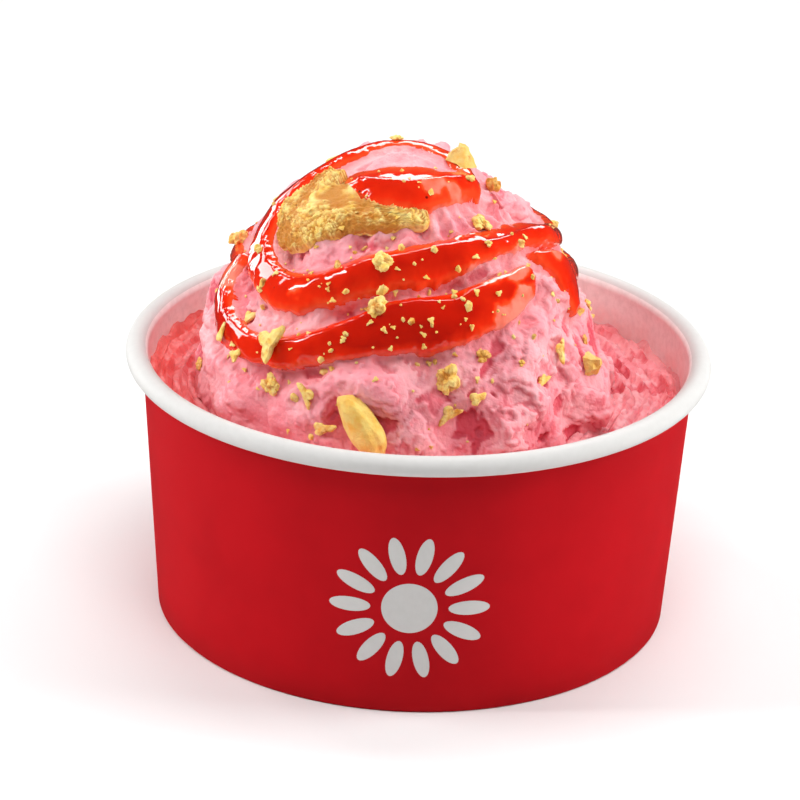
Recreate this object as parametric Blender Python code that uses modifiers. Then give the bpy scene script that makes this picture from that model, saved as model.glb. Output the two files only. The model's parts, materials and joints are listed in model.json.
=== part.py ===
"""A cup of gelato: a round paper cup filled with pink gelato, whose mound is wound round with
ribbons of red sauce and strewn with biscuit crumbs.

Units are metres, +Z is up, and the origin is the centre of the cup's foot. A place on the mound is
given as an azimuth and an elevation seen from the mound's centre, both in degrees.
"""
import math
import random

import bmesh
import bpy
import numpy as np
from mathutils import Matrix, Vector, noise

MM = 0.001
CLEARANCE = 0.3 * MM
TURN_STEPS = 64

# Paper cup
CUP_HEIGHT = 46.0 * MM
RIM_RADIUS = 48.0 * MM
RIM_HALF_WIDTH = 1.8 * MM
RIM_HALF_HEIGHT = 1.6 * MM
NECK_RADIUS = 45.2 * MM
FOOT_RADIUS = 42.5 * MM
PAPER = 0.7 * MM
HEM_THICKNESS = 1.6 * MM
HEM_HEIGHT = 6.0 * MM
BASE_THICKNESS = 0.8 * MM

# Gelato that fills the cup
BED_LEVEL = 38.2 * MM
BED_TILT = 1.6 * MM
BED_HIGH_SIDE = math.radians(145)
BED_SWIRL_DEPTH = 0.5 * MM
BED_SWIRL_SPACING = 3.4 * MM
BED_SWIRL_BEND_SIZE = 14 * MM
BED_EDGE_RISE = 0.9 * MM
BED_EDGE_START = 40 * MM
BED_EDGE_WIDTH = 4 * MM
BED_EDGE_RAGGED_SIZE = 6 * MM
BED_RING_RADII = [16 * MM, 28 * MM] + [(30 + 1.8 * step) * MM for step in range(8)]

# Mound of gelato
MOUND_CENTRE = Vector((-3.6, -1.0, 40.0)) * MM
MOUND_SEAT = 35.5 * MM
MOUND_SCALE = 35 * MM
MOUND_CUTS = 27
MOUND_ELEVATIONS = [-10, 0, 15, 30, 45, 60, 75, 90]
MOUND_RADII = {
    "right": [36.0, 35.5, 33.0, 33.6, 35.2, 34.4, 38.0, 39.3],
    "back": [34.0, 35.0, 35.6, 36.4, 37.0, 37.6, 38.4, 39.3],
    "left": [31.0, 32.5, 32.8, 33.2, 33.6, 35.8, 37.8, 39.3],
    "front": [33.0, 33.0, 32.8, 32.8, 33.6, 35.6, 37.6, 39.3],
}
CRAG_SIZE = 7.5 * MM
CRAG_DEPTH = 1.5 * MM
CRAG_FADE_ELEVATION = 84
CRAG_FADE_SPAN = 20
FLUTE_SPAN = 13
FLUTE_DEPTH = 0.7 * MM
FLUTE_ELEVATION = 62
FLUTE_HEIGHT = 7
FLUTE_WANDER = 3.5
FLUTE_WANDER_SIZE = 0.35

# Lobes and hollows: azimuth, elevation, reach, height
LUMPS = [
    (312, 12, 8.0 * MM, 1.6 * MM),
    (341, 6, 6.5 * MM, 2.0 * MM),
    (328, 3, 4.0 * MM, -1.8 * MM),
    (302, 0, 6.0 * MM, 1.4 * MM),
    (282, 26, 7.5 * MM, -1.4 * MM),
    (262, 18, 6.0 * MM, 0.9 * MM),
    (222, 12, 9.0 * MM, 0.8 * MM),
    (290, 48, 5.0 * MM, -1.3 * MM),
    (322, 49, 4.5 * MM, 1.2 * MM),
    (352, 50, 5.0 * MM, 1.0 * MM),
    (60, 14, 9.0 * MM, 1.2 * MM),
    (120, 20, 9.0 * MM, -1.0 * MM),
    (160, 10, 7.0 * MM, 1.0 * MM),
    (145, 62, 8.0 * MM, -1.9 * MM),
]

# Ribbons of sauce: azimuth, elevation and half width in millimetres at each turn of the path
RIBBONS = {
    "upper": [
        (337, 70, 1.2), (356, 75, 1.7), (390, 79, 1.7), (450, 81, 1.7), (500, 79, 2.1),
        (527, 73, 2.6), (538, 64, 3.1), (546, 56, 3.2), (558, 47, 3.1), (574, 42, 3.1),
        (589, 41, 3.3), (603, 45, 3.0), (622, 51, 3.1), (644, 54, 3.2), (665, 56, 2.8),
        (685, 56, 2.6), (705, 54, 2.6), (720, 48, 2.3), (735, 43, 2.1), (765, 39, 2.2),
        (800, 36, 2.3), (840, 34, 2.1), (880, 36, 1.8), (905, 38, 1.4),
    ],
    "pool": [
        (228, 75, 2.6), (250, 76, 4.2), (273, 76, 4.6), (295, 76, 4.2), (318, 75, 3.2), (338, 73, 2.4),
    ],
    "lower": [
        (189, 39, 1.8), (193, 32, 2.5), (203, 25, 2.7), (216, 23, 2.5), (230, 24, 2.5),
        (243, 28, 2.8), (256, 33, 3.4), (270, 37, 4.3), (284, 38, 4.8), (297, 40, 4.3),
        (309, 41, 4.0), (321, 43, 2.8),
    ],
    "right": [
        (338, 47, 1.6), (345, 42, 2.6), (347, 36, 3.2), (346, 30, 1.9),
    ],
    "behind": [
        (350, 39, 1.4), (375, 31, 2.2), (410, 25, 2.6), (450, 22, 2.4), (480, 21, 1.4),
    ],
}
PATH_STEPS = 4
SAUCE_FULLNESS = 0.6
SAUCE_LIMIT = 1.6 * MM
LEDGE_DEPTH = 1.3 * MM
LEDGE_REACH = 4.5 * MM
LEDGE_ABOVE = 0.6

# Brings the groove beside a ribbon, x(1 - x)^2, to a greatest depth of 1
LEDGE_SHAPE = 6.75

# Biscuit crumbs stuck to the mound: azimuth, elevation, length and width in millimetres
CRUMBS = [
    (8, 76, 4.8, 4.2), (6, 66, 4.4, 2.8), (100, 81, 2.8, 2.0), (321, 62, 4.2, 3.8), (336, 72, 2.1, 1.5),
    (201, 46, 1.8, 1.4), (170, 39, 4.2, 3.8), (264, 52, 4.1, 3.6), (263, 41, 4.1, 3.5), (264, 46, 2.0, 1.6),
    (212, 29, 3.6, 2.3), (209, 22, 3.1, 1.5), (218, 19, 2.6, 2.0), (231, 26, 6.4, 4.2), (232, 15, 4.6, 3.6),
    (245, 15, 4.6, 2.2), (251, 7, 3.6, 2.0), (193, 7, 3.0, 2.6), (286, 22, 5.6, 4.2), (298, 27, 3.1, 2.4),
    (328, 22, 4.4, 2.2), (318, 16, 4.2, 2.0), (340, 13, 4.6, 3.6), (349, 18, 2.2, 1.6), (294, 16, 2.8, 2.0),
    (286, 12, 4.6, 2.4), (309, 23, 1.4, 1.3), (312, 55, 1.6, 1.4),
]
CRUMB_HEIGHT_RATIO = 0.75
CRUMB_SINK = 0.3
CRUMB_ROUGHNESS = 0.2
BACK_CRUMBS = 20
BACK_CRUMB_LENGTHS = (1.8, 4.2)
BACK_CRUMB_AZIMUTHS = (5, 165)
BACK_CRUMB_ELEVATIONS = (12, 72)
CRUMB_SEED = 7

# Broken piece of biscuit: place on the mound, and its outline's reach every 15 degrees from east
SHARD_PLACE = (217, 65.5)
SHARD_REACH = [
    10.5, 14.5, 19.0, 15.0, 10.0, 7.5, 6.0, 6.0, 6.5, 7.0, 7.0, 6.0,
    6.5, 7.5, 8.2, 8.8, 9.5, 10.0, 9.8, 9.0, 8.3, 8.0, 8.0, 8.9,
]
SHARD_TOP = 2.0 * MM
SHARD_BOTTOM = 1.2 * MM
SHARD_EDGE = 0.3
SHARD_POLE = 0.01
SHARD_ROUGHNESS = 0.35 * MM
SHARD_GRAIN = 12
SHARD_SEGMENTS = 24
SHARD_RINGS = 9

# Almond-shaped biscuit that leans on the front of the mound
FINGER_PLACE = (262, 9)
FINGER_LENGTH = 11.5 * MM
FINGER_WIDTH = 5.0 * MM
FINGER_THICKNESS = 4.2 * MM
FINGER_TURN = math.radians(-55)
FINGER_LIFT = 1.1 * MM

COLOURS = {
    "cup_wall": ((0.60, 0.018, 0.024), 0.45),
    "cup_base": ((0.85, 0.84, 0.82), 0.6),
    "gelato": ((0.88, 0.42, 0.47), 0.55),
    "biscuit": ((0.80, 0.48, 0.15), 0.8),
}


def clear_scene():
    """Empty the file, so that only this object is in it."""
    for item in list(bpy.data.objects):
        bpy.data.objects.remove(item, do_unlink=True)


def new_collection(name):
    """A collection linked to the scene."""
    collection = bpy.data.collections.new(name)
    bpy.context.scene.collection.children.link(collection)
    return collection


def material(name, colour, roughness):
    """A Principled material of one colour."""
    made = bpy.data.materials.new(name)
    made.use_nodes = True
    shader = made.node_tree.nodes["Principled BSDF"]
    shader.inputs["Base Color"].default_value = (*colour, 1.0)
    shader.inputs["Roughness"].default_value = roughness
    shader.inputs["Metallic"].default_value = 0.0
    return made


def object_from(bm, name, collection):
    """A mesh object made from a bmesh, which is freed."""
    mesh = bpy.data.meshes.new(name)
    bm.to_mesh(mesh)
    bm.free()
    made = bpy.data.objects.new(name, mesh)
    collection.objects.link(made)
    return made


def dress(made, finish):
    """Give an object its own material, and smooth its round faces."""
    colour, roughness = COLOURS[finish]
    made.data.materials.clear()
    made.data.materials.append(material(f"{made.name}_finish", colour, roughness))
    made.data.shade_smooth()
    made.data.set_sharp_from_angle(angle=math.radians(40))


def as_guide(made):
    """Mark an object as a cutter that isn't part of the model."""
    made.hide_render = True
    made.display_type = "WIRE"


def apply_modifiers(made):
    """Turn an object's modifiers into plain mesh."""
    graph = bpy.context.evaluated_depsgraph_get()
    finished = bpy.data.meshes.new_from_object(made.evaluated_get(graph))
    made.modifiers.clear()
    made.data = finished


def smooth_table(x, places, values):
    """Values read from a table along a smooth curve through its points."""
    places = np.asarray(places, float)
    values = np.asarray(values, float)
    slopes = np.gradient(values, places)
    left = np.clip(np.searchsorted(places, x) - 1, 0, len(places) - 2)
    span = places[left + 1] - places[left]
    t = np.clip((x - places[left]) / span, 0, 1)
    return ((2 * t**3 - 3 * t**2 + 1) * values[left] + (t**3 - 2 * t**2 + t) * span * slopes[left]
            + (3 * t**2 - 2 * t**3) * values[left + 1] + (t**3 - t**2) * span * slopes[left + 1])


def directions(azimuths, elevations):
    """Unit vectors from the mound's centre, for angles in degrees."""
    azimuths = np.radians(azimuths)
    elevations = np.radians(elevations)
    return np.stack([np.cos(elevations) * np.cos(azimuths), np.cos(elevations) * np.sin(azimuths),
                     np.sin(elevations)], axis=-1)


def ribbon_path(name):
    """Directions and half widths along a ribbon's smooth centre line."""
    points = np.array(RIBBONS[name], float)
    stops = np.arange(len(points))
    fine = np.linspace(0, len(points) - 1, PATH_STEPS * (len(points) - 1) + 1)
    azimuths, elevations, widths = (smooth_table(fine, stops, points[:, k]) for k in range(3))
    return directions(azimuths, elevations), widths * MM


def ribbon_offsets(towards, name):
    """Distance from a ribbon's centre line, its half width there, and the side that a point is on."""
    path, widths = ribbon_path(name)
    best = np.full(len(towards), 1.0)
    half_width = np.full(len(towards), widths[0])
    side = np.zeros(len(towards))
    for start, end, width_start, width_end in zip(path[:-1], path[1:], widths[:-1], widths[1:]):
        along = end - start
        t = np.clip(((towards - start) @ along) / (along @ along), 0, 1)
        gap = towards - start - t[:, None] * along
        distance = np.linalg.norm(gap, axis=1) * MOUND_SCALE
        nearer = distance < best
        best = np.where(nearer, distance, best)
        half_width = np.where(nearer, width_start + t * (width_end - width_start), half_width)
        side = np.where(nearer, np.sign(gap[:, 2]), side)
    return best, half_width, side


def form_radius(towards):
    """Radius of the mound's plain form, blended between its four sides."""
    azimuth = np.arctan2(towards[:, 1], towards[:, 0])
    elevation = np.degrees(np.arcsin(np.clip(towards[:, 2], -1, 1)))
    weights = {
        "right": np.maximum(np.cos(azimuth), 0)**2, "back": np.maximum(np.sin(azimuth), 0)**2,
        "left": np.maximum(-np.cos(azimuth), 0)**2, "front": np.maximum(-np.sin(azimuth), 0)**2,
    }
    radius = sum(weight * smooth_table(elevation, MOUND_ELEVATIONS, MOUND_RADII[side])
                 for side, weight in weights.items())
    return radius * MM


def gelato_radius(towards):
    """Radius of the gelato, with its lobes, crags and the flutes below the top."""
    radius = form_radius(towards)
    for azimuth, elevation, reach, height in LUMPS:
        away = np.linalg.norm(towards - directions(azimuth, elevation), axis=1) * MOUND_SCALE
        radius = radius + height * np.exp(-(away / reach)**2 * 2)
    points = towards * radius[:, None] / CRAG_SIZE
    crags = np.array([noise.fractal(Vector(point), 0.8, 2.0, 2) for point in points])
    azimuth = np.degrees(np.arctan2(towards[:, 1], towards[:, 0])) % 360
    elevation = np.degrees(np.arcsin(np.clip(towards[:, 2], -1, 1)))
    wander = np.array([noise.fractal(Vector(point), 0.8, 2.0, 2) for point in (towards + 5) / FLUTE_WANDER_SIZE])
    phase = np.radians(azimuth / FLUTE_SPAN * 360) + FLUTE_WANDER * wander
    flutes = np.exp(-((elevation - FLUTE_ELEVATION) / FLUTE_HEIGHT)**2) * np.cos(phase)
    fade = np.clip((CRAG_FADE_ELEVATION - elevation) / CRAG_FADE_SPAN, 0, 1)
    return radius + CRAG_DEPTH * crags * fade + FLUTE_DEPTH * flutes


def sauce_relief(towards):
    """How far the sauce stands out, and the ledge that each ribbon hangs on."""
    sauce = np.zeros(len(towards))
    ledge = np.zeros(len(towards))
    for name in RIBBONS:
        distance, half_width, side = ribbon_offsets(towards, name)
        across = np.clip(1 - (distance / half_width)**2, 0, 1)
        depth = np.minimum(SAUCE_FULLNESS * half_width, SAUCE_LIMIT) * across
        sauce = np.maximum(sauce, depth)
        beyond = np.clip((distance - half_width) / LEDGE_REACH, 0, 1)
        groove = LEDGE_SHAPE * beyond * (1 - beyond)**2
        ledge = np.maximum(ledge, groove * np.where(side < 0, 1.0, LEDGE_ABOVE))
    return np.where(sauce > 0, sauce, -LEDGE_DEPTH * ledge)


def mound_radius(towards):
    """Radius of the gelato with its sauce."""
    return gelato_radius(towards) + sauce_relief(towards)


def place_on_mound(azimuth, elevation, height, radius=mound_radius):
    """A point at a height above the mound, with the axes east, up the slope and outwards there."""
    outward = directions(np.array([azimuth]), np.array([elevation]))
    reach = float(radius(outward)[0]) + height
    out = Vector(outward[0])
    east = Vector((-math.sin(math.radians(azimuth)), math.cos(math.radians(azimuth)), 0))
    return MOUND_CENTRE + out * reach, east, out.cross(east), out


def wall_radius(height):
    """Outer radius of the paper wall at a height."""
    return FOOT_RADIUS + (NECK_RADIUS - FOOT_RADIUS) * height / (CUP_HEIGHT - 2 * RIM_HALF_HEIGHT)


def turned(name, outline, collection, closed=True):
    """A turned solid from an outline of radius and height pairs."""
    bm = bmesh.new()
    points = [bm.verts.new((radius, 0, height)) for radius, height in outline]
    for start, end in zip(points, points[1:] + points[:1] if closed else points[1:]):
        bm.edges.new((start, end))
    made = object_from(bm, name, collection)
    screw = made.modifiers.new("turn", "SCREW")
    screw.steps = TURN_STEPS
    screw.render_steps = TURN_STEPS
    screw.use_merge_vertices = True
    screw.merge_threshold = 0.00001
    return made


def make_cup_wall(collection):
    """Paper wall with its rolled rim and the hem folded in at the foot."""
    rim_centre = RIM_RADIUS - RIM_HALF_WIDTH
    rim_height = CUP_HEIGHT - RIM_HALF_HEIGHT
    outline = []
    for degrees in range(190, -61, -25):
        angle = math.radians(degrees)
        outline.append((rim_centre + RIM_HALF_WIDTH * math.cos(angle),
                        rim_height + RIM_HALF_HEIGHT * math.sin(angle)))
    neck = CUP_HEIGHT - 2 * RIM_HALF_HEIGHT
    outline += [
        (NECK_RADIUS, neck),
        (FOOT_RADIUS, 0),
        (FOOT_RADIUS - HEM_THICKNESS, 0),
        (FOOT_RADIUS - HEM_THICKNESS, HEM_HEIGHT),
        (wall_radius(HEM_HEIGHT) - PAPER, HEM_HEIGHT),
        (NECK_RADIUS - PAPER, neck),
    ]
    wall = turned("cup_wall", outline, collection)
    dress(wall, "cup_wall")
    return wall


def make_cup_base(collection):
    """Paper disc that rests on the hem."""
    low = HEM_HEIGHT + CLEARANCE
    bm = bmesh.new()
    place = Matrix.Translation((0, 0, low + BASE_THICKNESS / 2))
    radius = wall_radius(low) - PAPER - CLEARANCE
    bmesh.ops.create_cone(bm, cap_ends=True, segments=TURN_STEPS, radius1=radius, radius2=radius,
                          depth=BASE_THICKNESS, matrix=place)
    base = object_from(bm, "cup_base", collection)
    dress(base, "cup_base")
    return base


def bed_height(x, y):
    """Height of the gelato's top beside the mound, with the scoop's swirls and a raised edge."""
    radius = math.hypot(x, y)
    tilt = BED_TILT * (x * math.cos(BED_HIGH_SIDE) + y * math.sin(BED_HIGH_SIDE)) / NECK_RADIUS
    bend = 2 * noise.noise(Vector((x, y, 0)) / BED_SWIRL_BEND_SIZE)
    swirl = BED_SWIRL_DEPTH * math.sin(math.tau * radius / BED_SWIRL_SPACING + bend)
    ragged = noise.noise(Vector((x, y, 0.01)) / BED_EDGE_RAGGED_SIZE)
    edge = BED_EDGE_RISE * max(0, (radius - BED_EDGE_START) / BED_EDGE_WIDTH) * (0.5 + ragged)
    return BED_LEVEL + tilt + swirl + edge


def make_bed(collection, pocket):
    """Gelato that fills the cup, hollowed where the mound sits."""
    low = HEM_HEIGHT + BASE_THICKNESS + 2 * CLEARANCE
    side = wall_radius(BED_LEVEL) - PAPER - CLEARANCE
    outline = [(0, BED_LEVEL)] + [(radius, BED_LEVEL) for radius in BED_RING_RADII]
    outline += [(side, BED_LEVEL), (wall_radius(low) - PAPER - CLEARANCE, low), (0, low)]
    bed = turned("gelato_bed", outline, collection, closed=False)
    apply_modifiers(bed)
    for vertex in bed.data.vertices:
        if vertex.co.z > BED_LEVEL - CLEARANCE:
            vertex.co.z = bed_height(vertex.co.x, vertex.co.y)
            reach = wall_radius(vertex.co.z) - PAPER - CLEARANCE
            across = math.hypot(vertex.co.x, vertex.co.y)
            if across > side - CLEARANCE:
                vertex.co.x *= reach / across
                vertex.co.y *= reach / across
    cut = bed.modifiers.new("pocket", "BOOLEAN")
    cut.operation = "DIFFERENCE"
    cut.solver = "EXACT"
    cut.object = pocket
    dress(bed, "gelato")
    return bed


def mound_mesh(name, collection, swell, seat):
    """The mound's surface, pushed out by swell and cut flat at its seat."""
    bm = bmesh.new()
    bmesh.ops.create_cube(bm, size=2)
    bmesh.ops.subdivide_edges(bm, edges=bm.edges[:], cuts=MOUND_CUTS, use_grid_fill=True)
    bmesh.ops.triangulate(bm, faces=bm.faces[:], quad_method="FIXED")
    corners = np.array([vertex.co for vertex in bm.verts])
    towards = np.tan(corners * math.pi / 4)
    towards /= np.linalg.norm(towards, axis=1)[:, None]
    radii = mound_radius(towards) + swell
    for vertex, outward, radius in zip(bm.verts, towards, radii):
        vertex.co = MOUND_CENTRE + Vector(outward) * radius
    cut = bmesh.ops.bisect_plane(bm, geom=bm.verts[:] + bm.edges[:] + bm.faces[:], dist=0.02 * MM,
                                 plane_co=(0, 0, seat), plane_no=(0, 0, -1), clear_outer=True)
    rim = [item for item in cut["geom_cut"] if isinstance(item, bmesh.types.BMEdge)]
    bmesh.ops.edgenet_fill(bm, edges=rim)
    bmesh.ops.recalc_face_normals(bm, faces=bm.faces[:])
    return object_from(bm, name, collection)


def make_crumb(number, place, length, width, draw, collection):
    """One angular crumb of about 20 faces, part sunk in what it lies on."""
    bm = bmesh.new()
    bmesh.ops.create_icosphere(bm, subdivisions=1, radius=0.5)
    for vertex in bm.verts:
        vertex.co *= 1 + draw.uniform(-CRUMB_ROUGHNESS, CRUMB_ROUGHNESS)
    thickness = min(length, width) * CRUMB_HEIGHT_RATIO
    point, east, north, out = place_on_mound(*place, (0.5 - CRUMB_SINK) * thickness - CLEARANCE)
    turn = Matrix((east, north, out)).transposed() @ Matrix.Rotation(draw.uniform(0, math.tau), 3, "Z")
    shape = Matrix.Diagonal((length, width, thickness))
    bmesh.ops.transform(bm, matrix=Matrix.Translation(point) @ (turn @ shape).to_4x4(), verts=bm.verts)
    return object_from(bm, f"crumb_{number:02d}", collection)


def crumb_places():
    """Every crumb on the mound: those in front by hand, those behind by a seeded draw."""
    draw = random.Random(CRUMB_SEED)
    places = [(azimuth, elevation, length * MM, width * MM) for azimuth, elevation, length, width in CRUMBS]
    first, last = BACK_CRUMB_AZIMUTHS
    for step in range(BACK_CRUMBS):
        azimuth = first + (last - first) * (step + draw.uniform(0.2, 0.8)) / BACK_CRUMBS
        elevation = draw.uniform(*BACK_CRUMB_ELEVATIONS)
        length = draw.uniform(*BACK_CRUMB_LENGTHS) * MM
        places.append((azimuth, elevation, length, length * draw.uniform(0.6, 0.95)))
    return places


def make_mound(collection):
    """The mound with its sauce in relief and its crumbs joined on."""
    mound = mound_mesh("gelato_mound", collection, 0, MOUND_SEAT)
    draw = random.Random(CRUMB_SEED + 1)
    crumbs = new_collection("crumbs")
    for number, (azimuth, elevation, length, width) in enumerate(crumb_places()):
        make_crumb(number, (azimuth, elevation), length, width, draw, crumbs)
    union = mound.modifiers.new("crumbs", "BOOLEAN")
    union.operation = "UNION"
    union.solver = "EXACT"
    union.operand_type = "COLLECTION"
    union.collection = crumbs
    apply_modifiers(mound)
    for crumb in list(crumbs.objects):
        bpy.data.objects.remove(crumb, do_unlink=True)
    bpy.data.collections.remove(crumbs)
    dress(mound, "gelato")
    return mound


def clear_of_mound(made, pocket):
    """Cut a topping so that it lies on the mound with its clearance."""
    cut = made.modifiers.new("rest", "BOOLEAN")
    cut.operation = "DIFFERENCE"
    cut.solver = "EXACT"
    cut.object = pocket


def make_shard(collection, pocket):
    """Flat broken biscuit that follows the slope under it."""
    centre, east, north, out = place_on_mound(*SHARD_PLACE, 0, form_radius)
    bm = bmesh.new()
    bmesh.ops.create_uvsphere(bm, u_segments=SHARD_SEGMENTS, v_segments=SHARD_RINGS, radius=1)
    stops = np.arange(len(SHARD_REACH) + 1) * math.tau / len(SHARD_REACH)
    for vertex in bm.verts:
        ball = vertex.co.copy()
        angle = math.atan2(ball.y, ball.x) % math.tau
        reach = float(smooth_table(np.array([angle]), stops, SHARD_REACH + SHARD_REACH[:1])[0]) * MM
        across = math.hypot(ball.x, ball.y)
        spread = across ** SHARD_EDGE * reach if across > SHARD_POLE else 0
        local = east * spread * math.cos(angle) + north * spread * math.sin(angle)
        towards = (centre + local - MOUND_CENTRE).normalized()
        height = abs(ball.z) ** SHARD_EDGE * (SHARD_TOP if ball.z > 0 else -SHARD_BOTTOM)
        rough = SHARD_ROUGHNESS * noise.noise(towards * SHARD_GRAIN)
        radius = float(form_radius(np.array([towards]))[0]) + height + rough
        vertex.co = MOUND_CENTRE + towards * radius
    bmesh.ops.recalc_face_normals(bm, faces=bm.faces[:])
    shard = object_from(bm, "biscuit_shard", collection)
    clear_of_mound(shard, pocket)
    dress(shard, "biscuit")
    return shard


def make_finger(collection, pocket):
    """Smooth almond-shaped biscuit that leans on the mound's front."""
    point, east, north, out = place_on_mound(*FINGER_PLACE, FINGER_LIFT, form_radius)
    bm = bmesh.new()
    bmesh.ops.create_uvsphere(bm, u_segments=16, v_segments=10, radius=0.5)
    turn = Matrix((east, north, out)).transposed() @ Matrix.Rotation(FINGER_TURN, 3, "Z")
    shape = Matrix.Diagonal((FINGER_THICKNESS, FINGER_WIDTH, FINGER_LENGTH))
    along = Matrix.Rotation(math.radians(90), 3, "Y")
    bmesh.ops.transform(bm, matrix=Matrix.Translation(point) @ (turn @ along @ shape).to_4x4(), verts=bm.verts)
    finger = object_from(bm, "biscuit_finger", collection)
    clear_of_mound(finger, pocket)
    dress(finger, "biscuit")
    return finger


def main():
    """Build the cup, its gelato and its toppings."""
    clear_scene()
    parts = new_collection("gelato_cup")
    cutters = new_collection("cutters")
    pocket = mound_mesh("mound_pocket", cutters, CLEARANCE, MOUND_SEAT - CLEARANCE)
    as_guide(pocket)
    make_cup_wall(parts)
    make_cup_base(parts)
    make_bed(parts, pocket)
    make_mound(parts)
    make_shard(parts, pocket)
    make_finger(parts, pocket)


main()
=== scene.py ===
"""Looks of a paper cup of gelato: the printed cup, the pink gelato, its sauce and its biscuit.

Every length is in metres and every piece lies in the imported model's own frame. A place on the mound
is an azimuth and an elevation in degrees, seen from the mound's centre.
"""
import json
import logging
import math
import random
from dataclasses import dataclass, field
from enum import Enum, IntEnum
from typing import ClassVar

import bmesh
import bpy
import numpy as np
from mathutils import Matrix, Vector, noise
from mathutils.bvhtree import BVHTree

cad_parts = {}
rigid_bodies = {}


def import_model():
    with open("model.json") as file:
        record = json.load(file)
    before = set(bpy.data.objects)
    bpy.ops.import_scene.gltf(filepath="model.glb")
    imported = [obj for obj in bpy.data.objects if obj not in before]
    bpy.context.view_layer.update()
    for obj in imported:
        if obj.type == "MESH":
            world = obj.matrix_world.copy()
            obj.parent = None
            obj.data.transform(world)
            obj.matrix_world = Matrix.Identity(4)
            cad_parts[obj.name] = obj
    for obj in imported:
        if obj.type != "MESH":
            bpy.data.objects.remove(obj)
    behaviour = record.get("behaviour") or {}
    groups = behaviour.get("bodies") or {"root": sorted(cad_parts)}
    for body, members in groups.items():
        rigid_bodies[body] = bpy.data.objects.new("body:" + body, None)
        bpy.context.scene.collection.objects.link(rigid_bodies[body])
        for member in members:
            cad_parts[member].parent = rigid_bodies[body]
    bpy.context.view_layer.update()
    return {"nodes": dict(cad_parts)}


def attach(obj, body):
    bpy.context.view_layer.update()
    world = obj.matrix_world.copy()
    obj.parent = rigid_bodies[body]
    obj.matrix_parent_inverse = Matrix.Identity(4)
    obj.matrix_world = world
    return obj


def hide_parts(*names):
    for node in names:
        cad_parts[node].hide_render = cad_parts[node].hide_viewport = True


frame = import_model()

LOG = logging.getLogger("gelato_cup")
MM = 0.001
BODY = "root"
NOISE_SEED = 7

Colour = tuple[float, float, float]
Numbers = np.ndarray
Piece = bpy.types.Object
Material = bpy.types.Material
Socket = bpy.types.NodeSocket
Shape = bmesh.types.BMesh


def link_object(name: str, mesh: bpy.types.Mesh) -> Piece:
    """Put a mesh in the scene, at the origin.

    Args:
        name: the piece's name.
        mesh: its mesh, with its place in its vertices.

    Returns:
        The new object.
    """
    made = bpy.data.objects.new(name, mesh)
    bpy.context.scene.collection.objects.link(made)
    return made


def object_from(bm: Shape, name: str) -> Piece:
    """Make an object from a bmesh, which is freed.

    Args:
        bm: the finished bmesh.
        name: the piece's name.

    Returns:
        The new object.
    """
    mesh = bpy.data.meshes.new(name)
    bm.to_mesh(mesh)
    bm.free()
    return link_object(name, mesh)


def coordinates(mesh: bpy.types.Mesh) -> Numbers:
    """Read a mesh's vertices as an array of points.

    Args:
        mesh: the mesh to read.

    Returns:
        One point a row.
    """
    flat = np.empty(len(mesh.vertices) * 3, np.float32)
    mesh.vertices.foreach_get("co", flat)
    return flat.reshape(-1, 3).astype(float)


def set_coordinates(mesh: bpy.types.Mesh, points: Numbers) -> None:
    """Move a mesh's vertices to the given points."""
    mesh.vertices.foreach_set("co", points.astype(np.float32).ravel())
    mesh.update()


def set_attribute(mesh: bpy.types.Mesh, name: str, values: Numbers) -> None:
    """Store one number for each vertex, under the name that the material reads."""
    attribute = mesh.attributes.get(name) or mesh.attributes.new(name, "FLOAT", "POINT")
    attribute.data.foreach_set("value", np.asarray(values, np.float32))


def bake_modifiers(made: Piece) -> None:
    """Turn an object's modifiers into plain mesh and remove them.

    Args:
        made: the object.
    """
    graph = bpy.context.evaluated_depsgraph_get()
    finished = bpy.data.meshes.new_from_object(made.evaluated_get(graph), depsgraph=graph)
    made.modifiers.clear()
    made.data = finished


def dress(made: Piece, *materials: Material) -> None:
    """Give a piece its materials and smooth shading."""
    for material in materials:
        made.data.materials.append(material)
    made.data.shade_smooth()


def settle(made: Piece, slot: str, *nodes: str) -> Piece:
    """Attach a finished piece to the model.

    Args:
        made: the piece, at the origin.
        slot: the record's material slot, which is not used.
        nodes: the solids that the piece stands for.

    Returns:
        The same piece.
    """
    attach(made, BODY)
    if nodes:
        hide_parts(*nodes)
    LOG.info("%s: %d triangles", made.name, sum(len(face.vertices) - 2 for face in made.data.polygons))
    return made


def smooth_table(x: Numbers, places: list[float], values: list[float]) -> Numbers:
    """Read a table along a smooth curve through its points.

    Args:
        x: where to read.
        places: the table's places, rising.
        values: the value at each place.

    Returns:
        The value at each x.
    """
    stops = np.asarray(places, float)
    levels = np.asarray(values, float)
    slopes = np.gradient(levels, stops)
    left = np.clip(np.searchsorted(stops, x) - 1, 0, len(stops) - 2)
    span = stops[left + 1] - stops[left]
    t = np.clip((x - stops[left]) / span, 0, 1)
    return ((2 * t**3 - 3 * t**2 + 1) * levels[left] + (t**3 - 2 * t**2 + t) * span * slopes[left]
            + (3 * t**2 - 2 * t**3) * levels[left + 1] + (t**3 - t**2) * span * slopes[left + 1])


def smooth_step(x: Numbers, low: float, high: float) -> Numbers:
    """Rise smoothly from 0 at low to 1 at high."""
    t = np.clip((x - low) / (high - low), 0, 1)
    return t * t * (3 - 2 * t)


def directions(azimuths: Numbers | float, elevations: Numbers | float) -> Numbers:
    """Unit vectors for angles in degrees.

    Args:
        azimuths: the azimuth of each.
        elevations: the elevation of each.

    Returns:
        One vector a row.
    """
    turn = np.radians(azimuths)
    rise = np.radians(elevations)
    return np.stack([np.cos(rise) * np.cos(turn), np.cos(rise) * np.sin(turn), np.sin(rise)], axis=-1)


def angles(towards: Numbers) -> Numbers:
    """Azimuths from -pi to pi and elevations of unit vectors, as two rows."""
    return np.stack([np.arctan2(towards[:, 1], towards[:, 0]), np.arcsin(np.clip(towards[:, 2], -1, 1))])


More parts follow.
